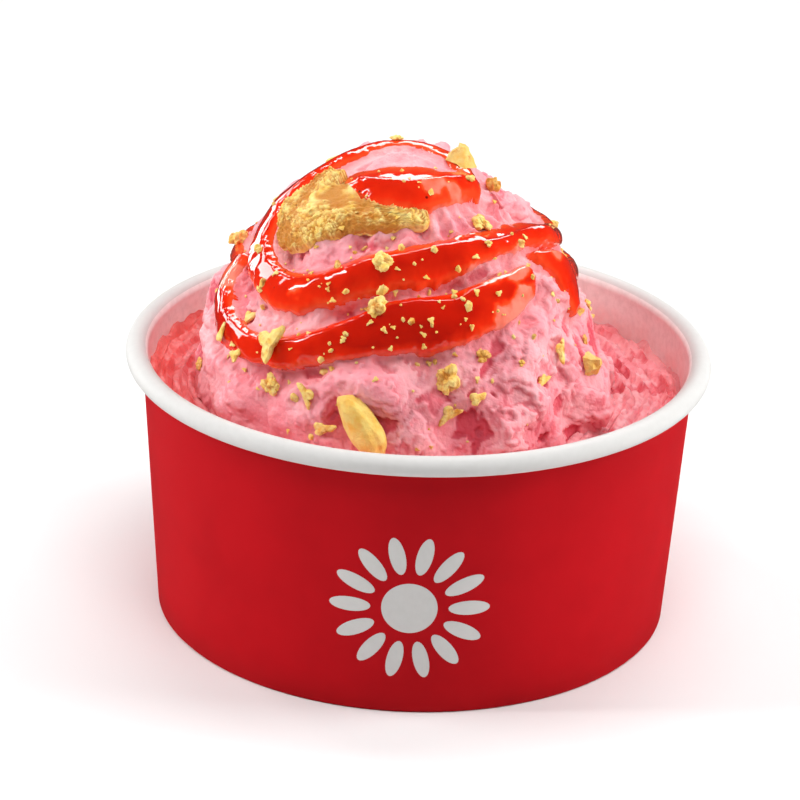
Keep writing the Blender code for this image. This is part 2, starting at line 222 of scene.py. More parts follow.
def axes_at(azimuth: float, elevation: float) -> tuple[Vector, Vector, Vector]:
    """East, north and outward axes at a place on the mound.

    Args:
        azimuth: the place's azimuth in degrees.
        elevation: its elevation in degrees.

    Returns:
        The three unit vectors.
    """
    out = Vector(directions(azimuth, elevation))
    east = Vector((-math.sin(math.radians(azimuth)), math.cos(math.radians(azimuth)), 0))
    return east, out.cross(east), out


def noise_at(points: Numbers, size: float, octaves: int = 2) -> Numbers:
    """Fractal noise at each point, about -1 to 1.

    Args:
        points: where to read, in metres.
        size: the size of the noise's largest lumps, in metres.
        octaves: how many finer layers are added.

    Returns:
        One number for each point.
    """
    return np.array([noise.fractal(Vector(point), 0.8, 2.0, octaves) for point in points / size])


def extruded(bm: Shape) -> tuple[list[bmesh.types.BMVert], list[bmesh.types.BMVert]]:
    """Close a sheet with a copy of itself.

    Args:
        bm: the open sheet.

    Returns:
        The sheet's own vertices and the copy's.
    """
    own = bm.verts[:]
    copied = bmesh.ops.extrude_face_region(bm, geom=bm.faces[:], use_keep_orig=True)["geom"]
    return own, [item for item in copied if isinstance(item, bmesh.types.BMVert)]


class Tree:
    """Short calls that fill a node tree."""

    place: Socket | None = None

    def __init__(self, tree: bpy.types.NodeTree) -> None:
        """Keep the tree that is filled."""
        self.tree = tree

    def add(self, kind: str, inputs: dict | None = None, **settings: str | float) -> bpy.types.Node:
        """Add a node.

        Args:
            kind: Blender's name for the node type.
            inputs: a value or an output socket for each input, by name or number.
            settings: the node's own properties.

        Returns:
            The new node.
        """
        node = self.tree.nodes.new(kind)
        for name, value in settings.items():
            setattr(node, name, value)
        for name, value in (inputs or {}).items():
            self.feed(node, name, value)
        return node

    def feed(self, node: bpy.types.Node, name: str | int, value: object) -> None:
        """Set an input to a value, or link an output to it."""
        if isinstance(value, bpy.types.NodeSocket):
            self.tree.links.new(value, node.inputs[name])
        else:
            node.inputs[name].default_value = value

    def maths(self, operation: str, *values: Socket | float) -> Socket:
        """Work out one number from others."""
        return self.add("ShaderNodeMath", dict(enumerate(values)), operation=operation).outputs[0]

    def times(self, first: Socket | float, second: Socket | float) -> Socket:
        """Multiply two numbers."""
        return self.maths("MULTIPLY", first, second)

    def plus(self, first: Socket | float, second: Socket | float) -> Socket:
        """Add two numbers."""
        return self.maths("ADD", first, second)

    def spread(self, value: Socket, low: float, high: float, to_low: float = 0.0,
               to_high: float = 1.0) -> Socket:
        """Bring a range of a value to another range, smoothly and held at its ends."""
        inputs = {"Value": value, "From Min": low, "From Max": high, "To Min": to_low, "To Max": to_high}
        return self.add("ShaderNodeMapRange", inputs, interpolation_type="SMOOTHSTEP").outputs["Result"]

    def noise(self, size: Socket | float, detail: float = 3.0, roughness: float = 0.5,
              place: Socket | None = None, output: str = "Fac") -> Socket:
        """Noise of a given size in metres, from 0 to 1.

        Args:
            size: the size of its largest lumps.
            detail: how many finer layers are added.
            roughness: how strong the finer layers are.
            place: where it is read, or the tree's usual place.
            output: the output that is wanted.

        Returns:
            That output.
        """
        scale = self.maths("DIVIDE", 1.0, size) if isinstance(size, bpy.types.NodeSocket) else 1 / size
        inputs = {"Scale": scale, "Detail": detail, "Roughness": roughness}
        where = self.place if place is None else place
        if where is not None:
            inputs["Vector"] = where
        return self.add("ShaderNodeTexNoise", inputs).outputs[output]


class GeometryTree(Tree):
    """Geometry Nodes with named inputs, which end in real mesh with a material."""

    def __init__(self, name: str, values: dict[str, float]) -> None:
        """Start the tree.

        Args:
            name: the tree's name.
            values: the value of each named input.
        """
        super().__init__(bpy.data.node_groups.new(name, "GeometryNodeTree"))
        self.values = values
        face = self.tree.interface
        for way in ("INPUT", "OUTPUT"):
            face.new_socket("Geometry", in_out=way, socket_type="NodeSocketGeometry")
        for label, value in values.items():
            kind = "NodeSocketInt" if isinstance(value, int) else "NodeSocketFloat"
            face.new_socket(label, in_out="INPUT", socket_type=kind)
        self.given = self.add("NodeGroupInput").outputs

    def stored(self, name: str, kind: str = "FLOAT") -> Socket:
        """Read an attribute of the points."""
        return self.add("GeometryNodeInputNamedAttribute", {"Name": name}, data_type=kind).outputs[0]

    def vector(self, operation: str, inputs: dict) -> Socket:
        """Work out one vector from others."""
        return self.add("ShaderNodeVectorMath", inputs, operation=operation).outputs[0]

    def apply(self, made: Piece, geometry: Socket, material: Material) -> None:
        """End the tree, run it on an object and keep the result as plain mesh.

        Args:
            made: the object.
            geometry: what the tree has made.
            material: its material.
        """
        real = self.add("GeometryNodeRealizeInstances", {"Geometry": geometry}).outputs[0]
        done = self.add("GeometryNodeSetMaterial", {"Geometry": real, "Material": material}).outputs[0]
        self.add("NodeGroupOutput", {0: done})
        modifier = made.modifiers.new(self.tree.name, "NODES")
        modifier.node_group = self.tree
        for socket in self.tree.interface.items_tree:
            if socket.in_out == "INPUT" and socket.name in self.values:
                modifier[socket.identifier] = self.values[socket.name]
        bake_modifiers(made)


class ShaderTree(Tree):
    """A material's nodes round one Principled shader."""

    def __init__(self, name: str) -> None:
        """Start a material with its shader and object coordinates.

        Args:
            name: the material's name.
        """
        self.material = bpy.data.materials.new(name)
        self.material.use_nodes = True
        super().__init__(self.material.node_tree)
        self.shader = self.tree.nodes["Principled BSDF"]
        self.place = self.add("ShaderNodeTexCoord").outputs["Object"]

    def constants(self, **values: float | tuple) -> None:
        """Set plain values on the shader, with underscores for spaces."""
        for name, value in values.items():
            self.shader.inputs[name.replace("_", " ").title().replace("Ior", "IOR")].default_value = value

    def cells(self, size: float) -> Socket:
        """Distance from the nearest cell's middle in a pattern of a given size in metres."""
        return self.add("ShaderNodeTexVoronoi", {"Vector": self.place, "Scale": 1 / size}).outputs["Distance"]

    def attribute(self, name: str) -> Socket:
        """A number stored on the mesh."""
        return self.add("ShaderNodeAttribute", attribute_name=name).outputs["Fac"]

    def blend(self, share: Socket, first: Socket | Colour, second: Socket | Colour) -> Socket:
        """Mix two colours by a share."""
        pair = [(*c, 1.0) if isinstance(c, tuple) else c for c in (first, second)]
        return self.add("ShaderNodeMix", {0: share, 6: pair[0], 7: pair[1]}, data_type="RGBA").outputs[2]

    def ramp(self, value: Socket, *stops: tuple[float, Colour]) -> Socket:
        """Read a colour ramp.

        Args:
            value: the number to read at.
            stops: pairs of a place from 0 to 1 and a colour, the two ends first.

        Returns:
            The colour output.
        """
        node = self.add("ShaderNodeValToRGB", {"Fac": value})
        ends = list(node.color_ramp.elements)
        for number, (place, colour) in enumerate(stops):
            stop = ends[number] if number < len(ends) else node.color_ramp.elements.new(place)
            stop.position = place
            stop.color = (*colour, 1.0)
        return node.outputs["Color"]

    def relief(self, height: Socket, depth: float, strength: float = 1.0) -> None:
        """Give the shader a bump of a depth in metres, of which a share shows."""
        inputs = {"Height": height, "Distance": depth, "Strength": strength}
        self.feed(self.shader, "Normal", self.add("ShaderNodeBump", inputs).outputs["Normal"])

    def colour(self, value: Socket) -> None:
        """Link the base colour."""
        self.feed(self.shader, "Base Color", value)


@dataclass(frozen=True)
class GelatoFinish:
    """Pink gelato, with painted shade that makes it deeper and redder in its hollows, and redder near the
    sauce, partly staining by the sauce and partly painted shade.
    """

    light: Colour = (0.97, 0.47, 0.50)
    middle: Colour = (0.93, 0.33, 0.38)
    # The colour of the painted shade in the hollows.
    deep: Colour = (0.72, 0.10, 0.14)
    # The colour of sauce staining, also used as painted shade near the sauce and on the bed's left.
    stain_and_shade_colour: Colour = (0.80, 0.12, 0.10)
    cloud: float = 9 * MM
    grain: float = 0.7 * MM
    lump: float = 1.8 * MM
    relief: float = 0.26 * MM

    def material(self) -> Material:
        """Make the material.

        Returns:
            The material.
        """
        tree = ShaderTree("gelato")
        cloudy = tree.spread(tree.noise(self.cloud, 4), 0.35, 0.68)
        colour = tree.blend(cloudy, self.light, self.middle)
        # The first attribute paints shade in the hollows; the second is partly staining by the sauce and
        # partly painted shade.
        for name, tint in (("hollow", self.deep), ("stain", self.stain_and_shade_colour)):
            colour = tree.blend(tree.spread(tree.attribute(name), 0.0, 1.0), colour, tint)
        tree.colour(colour)
        rough = tree.plus(tree.noise(self.grain, 3, 0.5), tree.times(tree.noise(self.lump, 3), 1.2))
        tree.relief(rough, self.relief, 0.8)
        tree.constants(roughness=0.42, subsurface_weight=0.28, subsurface_radius=(1.0, 0.32, 0.28),
                       subsurface_scale=1.6 * MM, specular_ior_level=0.22)
        return tree.material


@dataclass(frozen=True)
class SauceFinish:
    """Glossy red fruit sauce, salmon where it is thin and dark where it is deep; its depth attribute also
    carries painted highlights and painted shade.
    """

    film: Colour = (0.97, 0.27, 0.19)
    thin: Colour = (0.96, 0.085, 0.020)
    full: Colour = (0.88, 0.026, 0.003)
    deep: Colour = (0.58, 0.009, 0.001)
    seed: Colour = (0.16, 0.004, 0.002)
    thin_at: float = 0.17
    full_at: float = 0.50
    depth_share: float = 0.62
    uneven: float = 0.45
    patch: float = 3.4 * MM
    seed_spacing: float = 2.6 * MM
    ripple: float = 3.0 * MM

    def material(self) -> Material:
        """Make the material.

        Returns:
            The material.
        """
        tree = ShaderTree("sauce")
        uneven = tree.times(tree.plus(tree.noise(self.patch, 3), -0.5), self.uneven)
        depth = tree.plus(tree.times(tree.attribute("sauce_depth"), self.depth_share), uneven)
        colour = tree.ramp(depth, (0.0, self.film), (1.0, self.deep), (self.thin_at, self.thin),
                           (self.full_at, self.full))
        seeds = tree.spread(tree.cells(self.seed_spacing), 0.05, 0.12, 1.0, 0.0)
        rare = tree.spread(tree.noise(5 * MM, 1), 0.52, 0.6)
        tree.colour(tree.blend(tree.times(seeds, rare), colour, self.seed))
        tree.relief(tree.noise(self.ripple, 2), 0.10 * MM, 0.25)
        tree.constants(roughness=0.06, coat_weight=1.0, coat_roughness=0.03, subsurface_weight=0.15,
                       subsurface_radius=(1.0, 0.08, 0.04), subsurface_scale=2.5 * MM, ior=1.45,
                       specular_ior_level=0.3)
        return tree.material


@dataclass(frozen=True)
class BiscuitFinish:
    """Baked biscuit, golden with browner patches, and painted shade that darkens its hollows and creases."""

    name: str = "biscuit"
    pale: Colour = (1.0, 0.80, 0.29)
    golden: Colour = (1.0, 0.62, 0.12)
    brown: Colour = (0.62, 0.22, 0.025)
    patch: float = 2.6 * MM
    browned: float = 0.58
    roughness: float = 0.7

    def material(self) -> Material:
        """Make the material.

        Returns:
            The material.
        """
        tree = ShaderTree(self.name)
        mottled = tree.spread(tree.noise(self.patch * 0.45, 4), 0.35, 0.7)
        colour = tree.blend(mottled, self.pale, self.golden)
        patches = tree.spread(tree.noise(self.patch, 5, 0.62), self.browned - 0.08, self.browned + 0.12)
        # Painted shade: browner in the hollows and creases.
        pit_shades = tree.spread(tree.attribute("pit"), 0.15, 0.8, 0.0, 0.9)
        for share in (patches, tree.attribute("tone"), pit_shades):
            colour = tree.blend(share, colour, self.brown)
        tree.colour(colour)
        tree.relief(tree.noise(0.5 * MM, 5, 0.65), 0.24 * MM)
        tree.constants(roughness=self.roughness, subsurface_weight=0.12, subsurface_radius=(1.0, 0.5, 0.2),
                       subsurface_scale=1.0 * MM)
        return tree.material


@dataclass(frozen=True)
class PrintedPaperFinish:
    """Coated board printed in one red."""

    red: Colour = (0.50, 0.006, 0.011)

    def material(self) -> Material:
        """Make the material.

        Returns:
            The material.
        """
        tree = ShaderTree("printed_paper")
        shade = tuple(0.9 * channel for channel in self.red)
        tree.colour(tree.blend(tree.spread(tree.noise(14 * MM, 3), 0.3, 0.7), self.red, shade))
        tree.relief(tree.noise(0.7 * MM, 3), 0.02 * MM, 0.5)
        tree.constants(roughness=0.6, specular_ior_level=0.04)
        return tree.material


@dataclass(frozen=True)
class WhitePaperFinish:
    """White coated board, with a film of gelato on the inside of the wall. One board in two painted
    brightnesses: painted lighter inside the cup against the shade there, and painted darker on the rim and
    hem where the light falls strongly.
    """

    # Painted light and shade: the inside's board is lighter than the rim's, though both are the same board.
    white: Colour = (0.66, 0.65, 0.635)
    inside_white_painted_lighter: Colour = (0.90, 0.89, 0.87)
    fibre: Colour = (0.60, 0.59, 0.57)
    film: Colour = (0.96, 0.42, 0.40)
    film_low: float = 37 * MM
    film_high: float = 44.2 * MM

    def material(self, filmed: bool) -> Material:
        """Make the material.

        Args:
            filmed: whether the gelato has left a film on it.

        Returns:
            The material.
        """
        tree = ShaderTree("filmed_paper" if filmed else "white_paper")
        fibres = tree.noise(1.2 * MM, 4, 0.6)
        board = self.inside_white_painted_lighter if filmed else self.white
        colour = tree.blend(tree.spread(fibres, 0.3, 0.8, 0.0, 0.4), board, self.fibre)
        tree.colour(self.smeared(tree, colour) if filmed else colour)
        tree.relief(fibres, 0.03 * MM, 0.5)
        tree.constants(roughness=0.5, specular_ior_level=0.12)
        return tree.material

    def smeared(self, tree: ShaderTree, colour: Socket) -> Socket:
        """Lay the gelato's ragged and streaked film over the paper's colour.

        Args:
            tree: the material's nodes.
            colour: the bare paper's colour.

        Returns:
            The colour with its film.
        """
        height = tree.add("ShaderNodeSeparateXYZ", {0: tree.place}).outputs["Z"]
        ragged = tree.times(tree.plus(tree.noise(11 * MM, 4, 0.55), -0.5), 9 * MM)
        low = tree.spread(tree.plus(height, ragged), self.film_low, self.film_high, 0.55, 0.0)
        streaks = tree.spread(tree.noise(9 * MM, 5, 0.6), 0.35, 0.68, 0.25, 1.0)
        return tree.blend(tree.times(low, streaks), colour, self.film)


@dataclass(frozen=True)
class FloorFinish:
    """Pale matt floor."""

    white: Colour = (0.86, 0.86, 0.86)

    def material(self) -> Material:
        """Make the material.

        Returns:
            The material.
        """
        tree = ShaderTree("pale_floor")
        near = tuple(0.995 * channel for channel in self.white)
        tree.colour(tree.blend(tree.noise(0.3, 2), self.white, near))
        tree.constants(roughness=0.8, specular_ior_level=0.2)
        return tree.material


@dataclass
class Ribbon:
    """A ribbon of sauce: azimuth, elevation and half width in millimetres at each turn of its path."""

    turns: list[tuple[float, float, float]]
    steps: int = 4

    def path(self) -> tuple[Numbers, Numbers]:
        """Directions along the smooth centre line, and the half width at each in metres.

        Returns:
            Directions along the line, and the half width at each in metres.
        """
        points = np.array(self.turns, float)
        stops = np.arange(len(points))
        fine = np.linspace(0, len(points) - 1, self.steps * (len(points) - 1) + 1)
        azimuths, elevations, widths = (smooth_table(fine, stops, points[:, k]) for k in range(3))
        return directions(azimuths, elevations), widths * MM


@dataclass
class MoundForm:
    """The form that the solids and the fine pieces share: a mound seen from its own centre."""

    centre: Vector = field(default_factory=lambda: Vector((-3.6, -1.0, 40.0)) * MM)
    seat: float = 35.5 * MM
    scale: float = 35 * MM
    elevations: list[float] = field(default_factory=lambda: [-10, 0, 15, 30, 45, 60, 75, 90])
    sides: dict[str, list[float]] = field(default_factory=lambda: {
        "right": [36.0, 35.5, 33.0, 33.6, 35.2, 34.4, 38.0, 39.3],
        "back": [34.0, 35.0, 35.6, 36.4, 37.0, 37.6, 38.4, 39.3],
        "left": [31.0, 32.5, 32.8, 33.2, 33.6, 35.8, 37.8, 39.3],
        "front": [33.0, 33.0, 32.8, 32.8, 33.6, 35.6, 37.6, 39.3],
    })
    crag_size: float = 7.5 * MM
    crag_depth: float = 1.5 * MM
    crags_end: float = 84
    crags_fade: float = 20
    flute_span: float = 13
    flute_depth: float = 0.7 * MM
    flute_wander: float = 0.35
    flute_bend: float = 3.5
    flute_at: float = 62
    flute_reach: float = 7
    lumps: list[tuple[float, float, float, float]] = field(default_factory=lambda: [
        (312, 12, 8.0 * MM, 1.6 * MM), (341, 6, 6.5 * MM, 2.0 * MM), (328, 3, 4.0 * MM, -1.8 * MM),
        (302, 0, 6.0 * MM, 1.4 * MM), (282, 26, 7.5 * MM, -1.4 * MM), (262, 18, 6.0 * MM, 0.9 * MM),
        (222, 12, 9.0 * MM, 0.8 * MM), (290, 48, 5.0 * MM, -1.3 * MM), (322, 49, 4.5 * MM, 1.2 * MM),
        (352, 50, 5.0 * MM, 1.0 * MM), (60, 14, 9.0 * MM, 1.2 * MM), (120, 20, 9.0 * MM, -1.0 * MM),
        (160, 10, 7.0 * MM, 1.0 * MM), (145, 62, 8.0 * MM, -1.9 * MM),
    ])
    ribbons: dict[str, Ribbon] = field(default_factory=lambda: {
        "upper": Ribbon([
            (337, 70, 1.2), (356, 75, 1.7), (390, 79, 1.7), (450, 81, 1.7), (500, 79, 2.1),
            (527, 73, 2.6), (538, 64, 3.1), (546, 56, 3.2), (558, 47, 3.1), (574, 42, 3.1),
            (589, 41, 3.3), (603, 45, 3.0), (622, 51, 3.1), (644, 54, 3.2), (665, 56, 2.8),
            (685, 56, 2.6), (705, 54, 2.6), (720, 48, 2.3), (735, 43, 2.1), (765, 39, 2.2),
            (800, 36, 2.3), (840, 34, 2.1), (880, 36, 1.8), (905, 38, 1.4),
        ]),
        "pool": Ribbon([
            (228, 75, 2.6), (250, 76, 4.2), (273, 76, 4.6), (295, 76, 4.2), (318, 75, 3.2), (338, 73, 2.4),
        ]),
        "lower": Ribbon([
            (189, 39, 1.8), (193, 32, 2.5), (203, 25, 2.7), (216, 23, 2.5), (230, 24, 2.5),
            (243, 28, 2.8), (256, 33, 3.4), (270, 37, 4.3), (284, 38, 4.8), (297, 40, 4.3),
            (309, 41, 4.0), (321, 43, 2.8),
        ]),
        "right": Ribbon([(338, 47, 1.6), (345, 42, 2.6), (347, 36, 3.2), (346, 30, 1.9)]),
        "behind": Ribbon([(350, 39, 1.4), (375, 31, 2.2), (410, 25, 2.6), (450, 22, 2.4), (480, 21, 1.4)]),
    })
    sauce_fullness: float = 0.6
    sauce_limit: float = 1.6 * MM
    ledge_depth: float = 1.3 * MM
    ledge_reach: float = 4.5 * MM
    ledge_above: float = 0.6
    ledge_shape: float = 6.75
    lit_side: Numbers = field(default_factory=lambda: np.array([-0.45, 0.55, 0.70]))
    lit_gain: float = 1.6

    def away(self, towards: Numbers, azimuth: float, elevation: float) -> Numbers:
        """Distance of each direction from a place, along the mound."""
        return np.linalg.norm(towards - directions(azimuth, elevation), axis=1) * self.scale

    def plain_point(self, out: Vector) -> Vector:
        """The plain form's point in a direction, from the mound's centre."""
        return out * float(self.form_radius(np.array([out]))[0])

    def form_radius(self, towards: Numbers) -> Numbers:
        """Radius of the plain form, blended between its four sides.

        Args:
            towards: unit vectors from the mound's centre.

        Returns:
            The radius in each direction.
        """
        turn, rise = angles(towards)
        facing = {"right": np.cos(turn), "back": np.sin(turn), "left": -np.cos(turn), "front": -np.sin(turn)}
        return MM * sum(
            np.maximum(share, 0)**2 * smooth_table(np.degrees(rise), self.elevations, self.sides[side])
            for side, share in facing.items())

    def lumpy_radius(self, towards: Numbers) -> Numbers:
        """Radius of the plain form with its lobes and hollows.

        Args:
            towards: unit vectors from the mound's centre.

        Returns:
            The radius in each direction.
        """
        radius = self.form_radius(towards)
        for azimuth, elevation, reach, height in self.lumps:
            radius = radius + height * np.exp(-(self.away(towards, azimuth, elevation) / reach)**2 * 2)
        return radius

    def lean(self, towards: Numbers, step: float = 0.03) -> Numbers:
        """Elevation, in radians, that the surface without its crags faces at each direction.

        Args:
            towards: unit vectors from the mound's centre.
            step: half the angle that the slope is taken over.

        Returns:
            The elevation at each direction.
        """
        turn, rise = angles(towards)
        higher = np.stack([-np.sin(rise) * np.cos(turn), -np.sin(rise) * np.sin(turn), np.cos(rise)], axis=1)
        near = [self.lumpy_radius(math.cos(step) * towards + sign * math.sin(step) * higher)
                for sign in (1, -1)]
        growth = (near[0] - near[1]) / (2 * step)
        return rise - np.arctan(growth / (0.5 * (near[0] + near[1])))

    def gelato_radius(self, towards: Numbers, crags: Numbers | float = 1.0) -> Numbers:
        """Radius of the gelato, with its lobes, crags and the flutes below the top.

        Args:
            towards: unit vectors from the mound's centre.
            crags: the share of the crags that shows.

        Returns:
            The radius in each direction.
        """
        radius = self.lumpy_radius(towards)
        rough = crags * noise_at(towards * radius[:, None], self.crag_size)
        turn, rise = np.degrees(angles(towards))
        bend = self.flute_bend * noise_at(towards + 5, self.flute_wander)
        phase = turn % 360 / self.flute_span * math.tau + bend
        flutes = np.exp(-((rise - self.flute_at) / self.flute_reach)**2) * np.cos(phase)
        fade = np.clip((self.crags_end - rise) / self.crags_fade, 0, 1)
        return radius + self.crag_depth * rough * fade + self.flute_depth * flutes * crags

    def ribbon_offsets(self, towards: Numbers, ribbon: Ribbon) -> tuple[Numbers, ...]:
        """Find where each direction lies beside a ribbon.

        Args:
            towards: unit vectors from the mound's centre.
            ribbon: the ribbon.

        Returns:
            Distance from its centre line, its half width there, 1 above it or -1 below it, and how
            far that side faces the light behind, from -1 to 1.
        """
        path, widths = ribbon.path()
        best = np.full(len(towards), 1.0)
        half_width = np.full(len(towards), widths[0])
        side, lit = np.zeros((2, len(towards)))
        for start, end, width_start, width_end in zip(path[:-1], path[1:], widths[:-1], widths[1:]):
            along = end - start
            t = np.clip(((towards - start) @ along) / (along @ along), 0, 1)
            gap = towards - start - t[:, None] * along
            length = np.linalg.norm(gap, axis=1)
            nearer = length * self.scale < best
            best = np.where(nearer, length * self.scale, best)
            half_width = np.where(nearer, width_start + t * (width_end - width_start), half_width)
            side = np.where(nearer, np.sign(gap[:, 2]), side)
            lit = np.where(nearer, gap @ self.lit_side / np.maximum(length, 1e-9), lit)
        return best, half_width, side, np.clip(self.lit_gain * lit, -1, 1)


@dataclass
class MoundField:
    """What the fine pieces need to know at each direction from the mound's centre."""

    towards: Numbers
    base: Numbers
    sauce: Numbers
    beside: Numbers
    lip_faces: ClassVar[float] = math.radians(77)
    lip_slopes: ClassVar[tuple[float, float]] = (math.radians(14), math.radians(50))
    lip_level: ClassVar[float] = 0.70
    lip_softness: ClassVar[float] = 0.16 * MM
    crown: ClassVar[float] = 0.10
    wider_below: ClassVar[float] = 1.12
    wider_above: ClassVar[float] = 0.96
    skirt: ClassVar[float] = 2.6
    smoothed: ClassVar[float] = 0.90
    wander: ClassVar[tuple[float, float]] = (0.55 * MM, 4.2 * MM)
    fringe: ClassVar[tuple[float, float]] = (0.22 * MM, 1.3 * MM)
    uneven: ClassVar[tuple[float, float]] = (0.16, 5 * MM)

    @classmethod
    def read(cls, form: MoundForm, towards: Numbers) -> "MoundField":
        """Work out the mound's surface and its sauce at each direction.

        Args:
            form: the mound's form.
            towards: unit vectors from its centre.

        Returns:
            The radius under the sauce, the sauce's depth, below 0 off the ribbons, and the distance
            from the nearest ribbon's edge.
        """
        points = towards * form.scale
        wander = (cls.wander[0] * noise_at(points, cls.wander[1], 3)
                  + cls.fringe[0] * noise_at(points + 1, cls.fringe[1]))
        uneven = 1 + cls.uneven[0] * noise_at(points + 2, cls.uneven[1])
        sauce = np.full(len(towards), -3 * MM)
        beside = np.full(len(towards), 1.0)
        ledge = np.zeros(len(towards))
        steep = np.tan(np.clip(cls.lip_faces - form.lean(towards), *cls.lip_slopes))
        for ribbon in form.ribbons.values():
            distance, half_width, side, lit = form.ribbon_offsets(towards, ribbon)
            beyond = np.clip((distance - half_width) / form.ledge_reach, 0, 1)
            groove = form.ledge_shape * beyond * (1 - beyond)**2
            ledge = np.maximum(ledge, groove * np.where(side < 0, 1.0, form.ledge_above))
            run = half_width * np.where(side < 0, cls.wider_below, cls.wider_above)
            calm = np.clip(half_width / (2 * MM), 0.3, 1) * (1 - 0.65 * np.maximum(lit, 0))
            across = (distance + wander * calm) / run
            depth = np.minimum(form.sauce_fullness * half_width, form.sauce_limit) * uneven
            bead = cls.section(across, run, depth, lit, steep)
            outside = np.maximum(across - 1, 0) * run
            sauce = cls.merged(sauce, np.where(across < 1, bead, -cls.skirt * outside))
            beside = np.minimum(beside, (across - 1) * run)
        bare = 1 - smooth_step(sauce, 0, 0.4 * MM)
        rough = 1 - cls.smoothed * smooth_step(sauce, -1.2 * MM, 0.3 * MM)
        base = form.gelato_radius(towards, rough) - form.ledge_depth * ledge * bare
        return cls(towards, base, sauce, beside)

    @classmethod
    def section(cls, across: Numbers, run: Numbers, depth: Numbers, lit: Numbers, steep: Numbers) -> Numbers:
        """Cross section of a ribbon: a bevelled lip on its lit side and a round slope on the other.

        Args:
            across: distance from the centre line, 1 at the ribbon's edge.
            run: half width of the ribbon on that side.
            depth: greatest depth of the ribbon.
            lit: how far that side faces the light behind, from -1 to 1.
            steep: slope of the lip's bevel, which turns it to the light.

        Returns:
            The depth of the sauce.
        """
        inside = np.clip(np.abs(across), 0, 1)
        level = cls.lip_level * depth
        bevel = steep * (1 - inside) * run
        lip = 0.5 * (level + bevel - np.sqrt((level - bevel)**2 + cls.lip_softness**2))
        slope = level * (1 - inside**2)**0.85
        share = 0.5 + 0.5 * lit
        return share * lip + (1 - share) * slope + cls.crown * depth * (1 - inside**2)**2

    @staticmethod
    def merged(first: Numbers, second: Numbers, soft: float = 0.5 * MM) -> Numbers:
        """The larger of two depths, with a smooth meeting."""
        close = np.maximum(soft - np.abs(first - second), 0) / soft
        return np.maximum(first, second) + close**2 * soft / 4


def cube_sphere(cuts: int, lowest: float) -> Shape:
    """Make an even ball of quads with radius 1, cut open below a height.

    Args:
        cuts: how often each edge of the starting cube is cut.
        lowest: the height below which it is open.

    Returns:
        The ball.
    """
    bm = bmesh.new()
    bmesh.ops.create_cube(bm, size=2)
    bmesh.ops.subdivide_edges(bm, edges=bm.edges[:], cuts=cuts, use_grid_fill=True)
    for vertex in bm.verts:
        vertex.co = Vector(math.tan(part * math.pi / 4) for part in vertex.co).normalized()
    low = [vertex for vertex in bm.verts if vertex.co.z < lowest]
    bmesh.ops.delete(bm, geom=low, context="VERTS")
    return bm


@dataclass
class GelatoCrags:
    """Geometry Nodes that tear a gelato surface into leaves and grains, and store painted shade for its
    hollows.
    """

    tear_size: float = 8.0 * MM
    tear_depth: float = 7.0 * MM
    grain_size: float = 1.1 * MM
    grain_depth: float = 0.50 * MM
    bend: float = 3.0 * MM
    levels: int = 11

    def tear(self, made: Piece, material: Material) -> None:
        """Tear an object's surface and bake it to plain mesh.

        Args:
            made: the object, with a crag attribute from 0 to 1.
            material: its material.
        """
        tree = GeometryTree("gelato_crags", {
            "Tear Size": self.tear_size, "Tear Depth": self.tear_depth,
            "Grain Size": self.grain_size, "Grain Depth": self.grain_depth,
        })
        crag = tree.stored("crag")
        height, deep = self.torn(tree)
        grain = tree.plus(tree.noise(tree.given["Grain Size"], 4, 0.55), -0.5)
        tear_offset = tree.times(tree.times(height, tree.given["Tear Depth"]), crag)
        grain_share = tree.maths("MULTIPLY_ADD", crag, 0.6, 0.4)
        grain_offset = tree.times(tree.times(grain, tree.given["Grain Depth"]), grain_share)
        normal = tree.add("GeometryNodeInputNormal").outputs[0]
        push = tree.vector("SCALE", {0: normal, "Scale": tree.plus(tear_offset, grain_offset)})
        # Store painted shade: a darker colour at the foot of each step and in the low lumps.
        marked = tree.add("GeometryNodeStoreNamedAttribute", {
            "Geometry": tree.given["Geometry"], "Name": "hollow", "Value": tree.times(deep, crag),
        }, data_type="FLOAT", domain="POINT").outputs[0]
        moved = tree.add("GeometryNodeSetPosition", {"Geometry": marked, "Offset": push}).outputs[0]
        tree.apply(made, moved, material)
        made.data.shade_smooth()

    def torn(self, tree: GeometryTree) -> tuple[Socket, Socket]:
        """Ragged steps, as a spatula tears gelato into leaves.

        Args:
            tree: the node tree.

        Returns:
            The height, from about -0.5 to 0.5, and a mask of painted shade under each step and in the low
            lumps.
        """
        size = tree.given["Tear Size"]
        place = tree.add("GeometryNodeInputPosition").outputs[0]
        middle = tree.vector("SUBTRACT", {0: tree.noise(size, 2, output="Color"), 1: (0.5, 0.5, 0.5)})
        bent = tree.vector("ADD", {0: place, 1: tree.vector("SCALE", {0: middle, "Scale": self.bend})})
        lumps = tree.noise(size, 4, 0.52, bent)
        levels = tree.times(lumps, self.levels)
        part = tree.maths("FRACT", levels)
        step = tree.plus(tree.maths("FLOOR", levels), tree.spread(part, 0.66, 0.86))
        # Painted shade at the foot of each step and where the lumps are low.
        foot = tree.times(tree.spread(part, 0.20, 0.58), tree.spread(part, 0.92, 0.60))
        hollow = tree.maths("MULTIPLY_ADD", foot, 0.6, tree.spread(lumps, 0.52, 0.34))
        return tree.maths("MULTIPLY_ADD", step, 1 / self.levels, -0.5), hollow


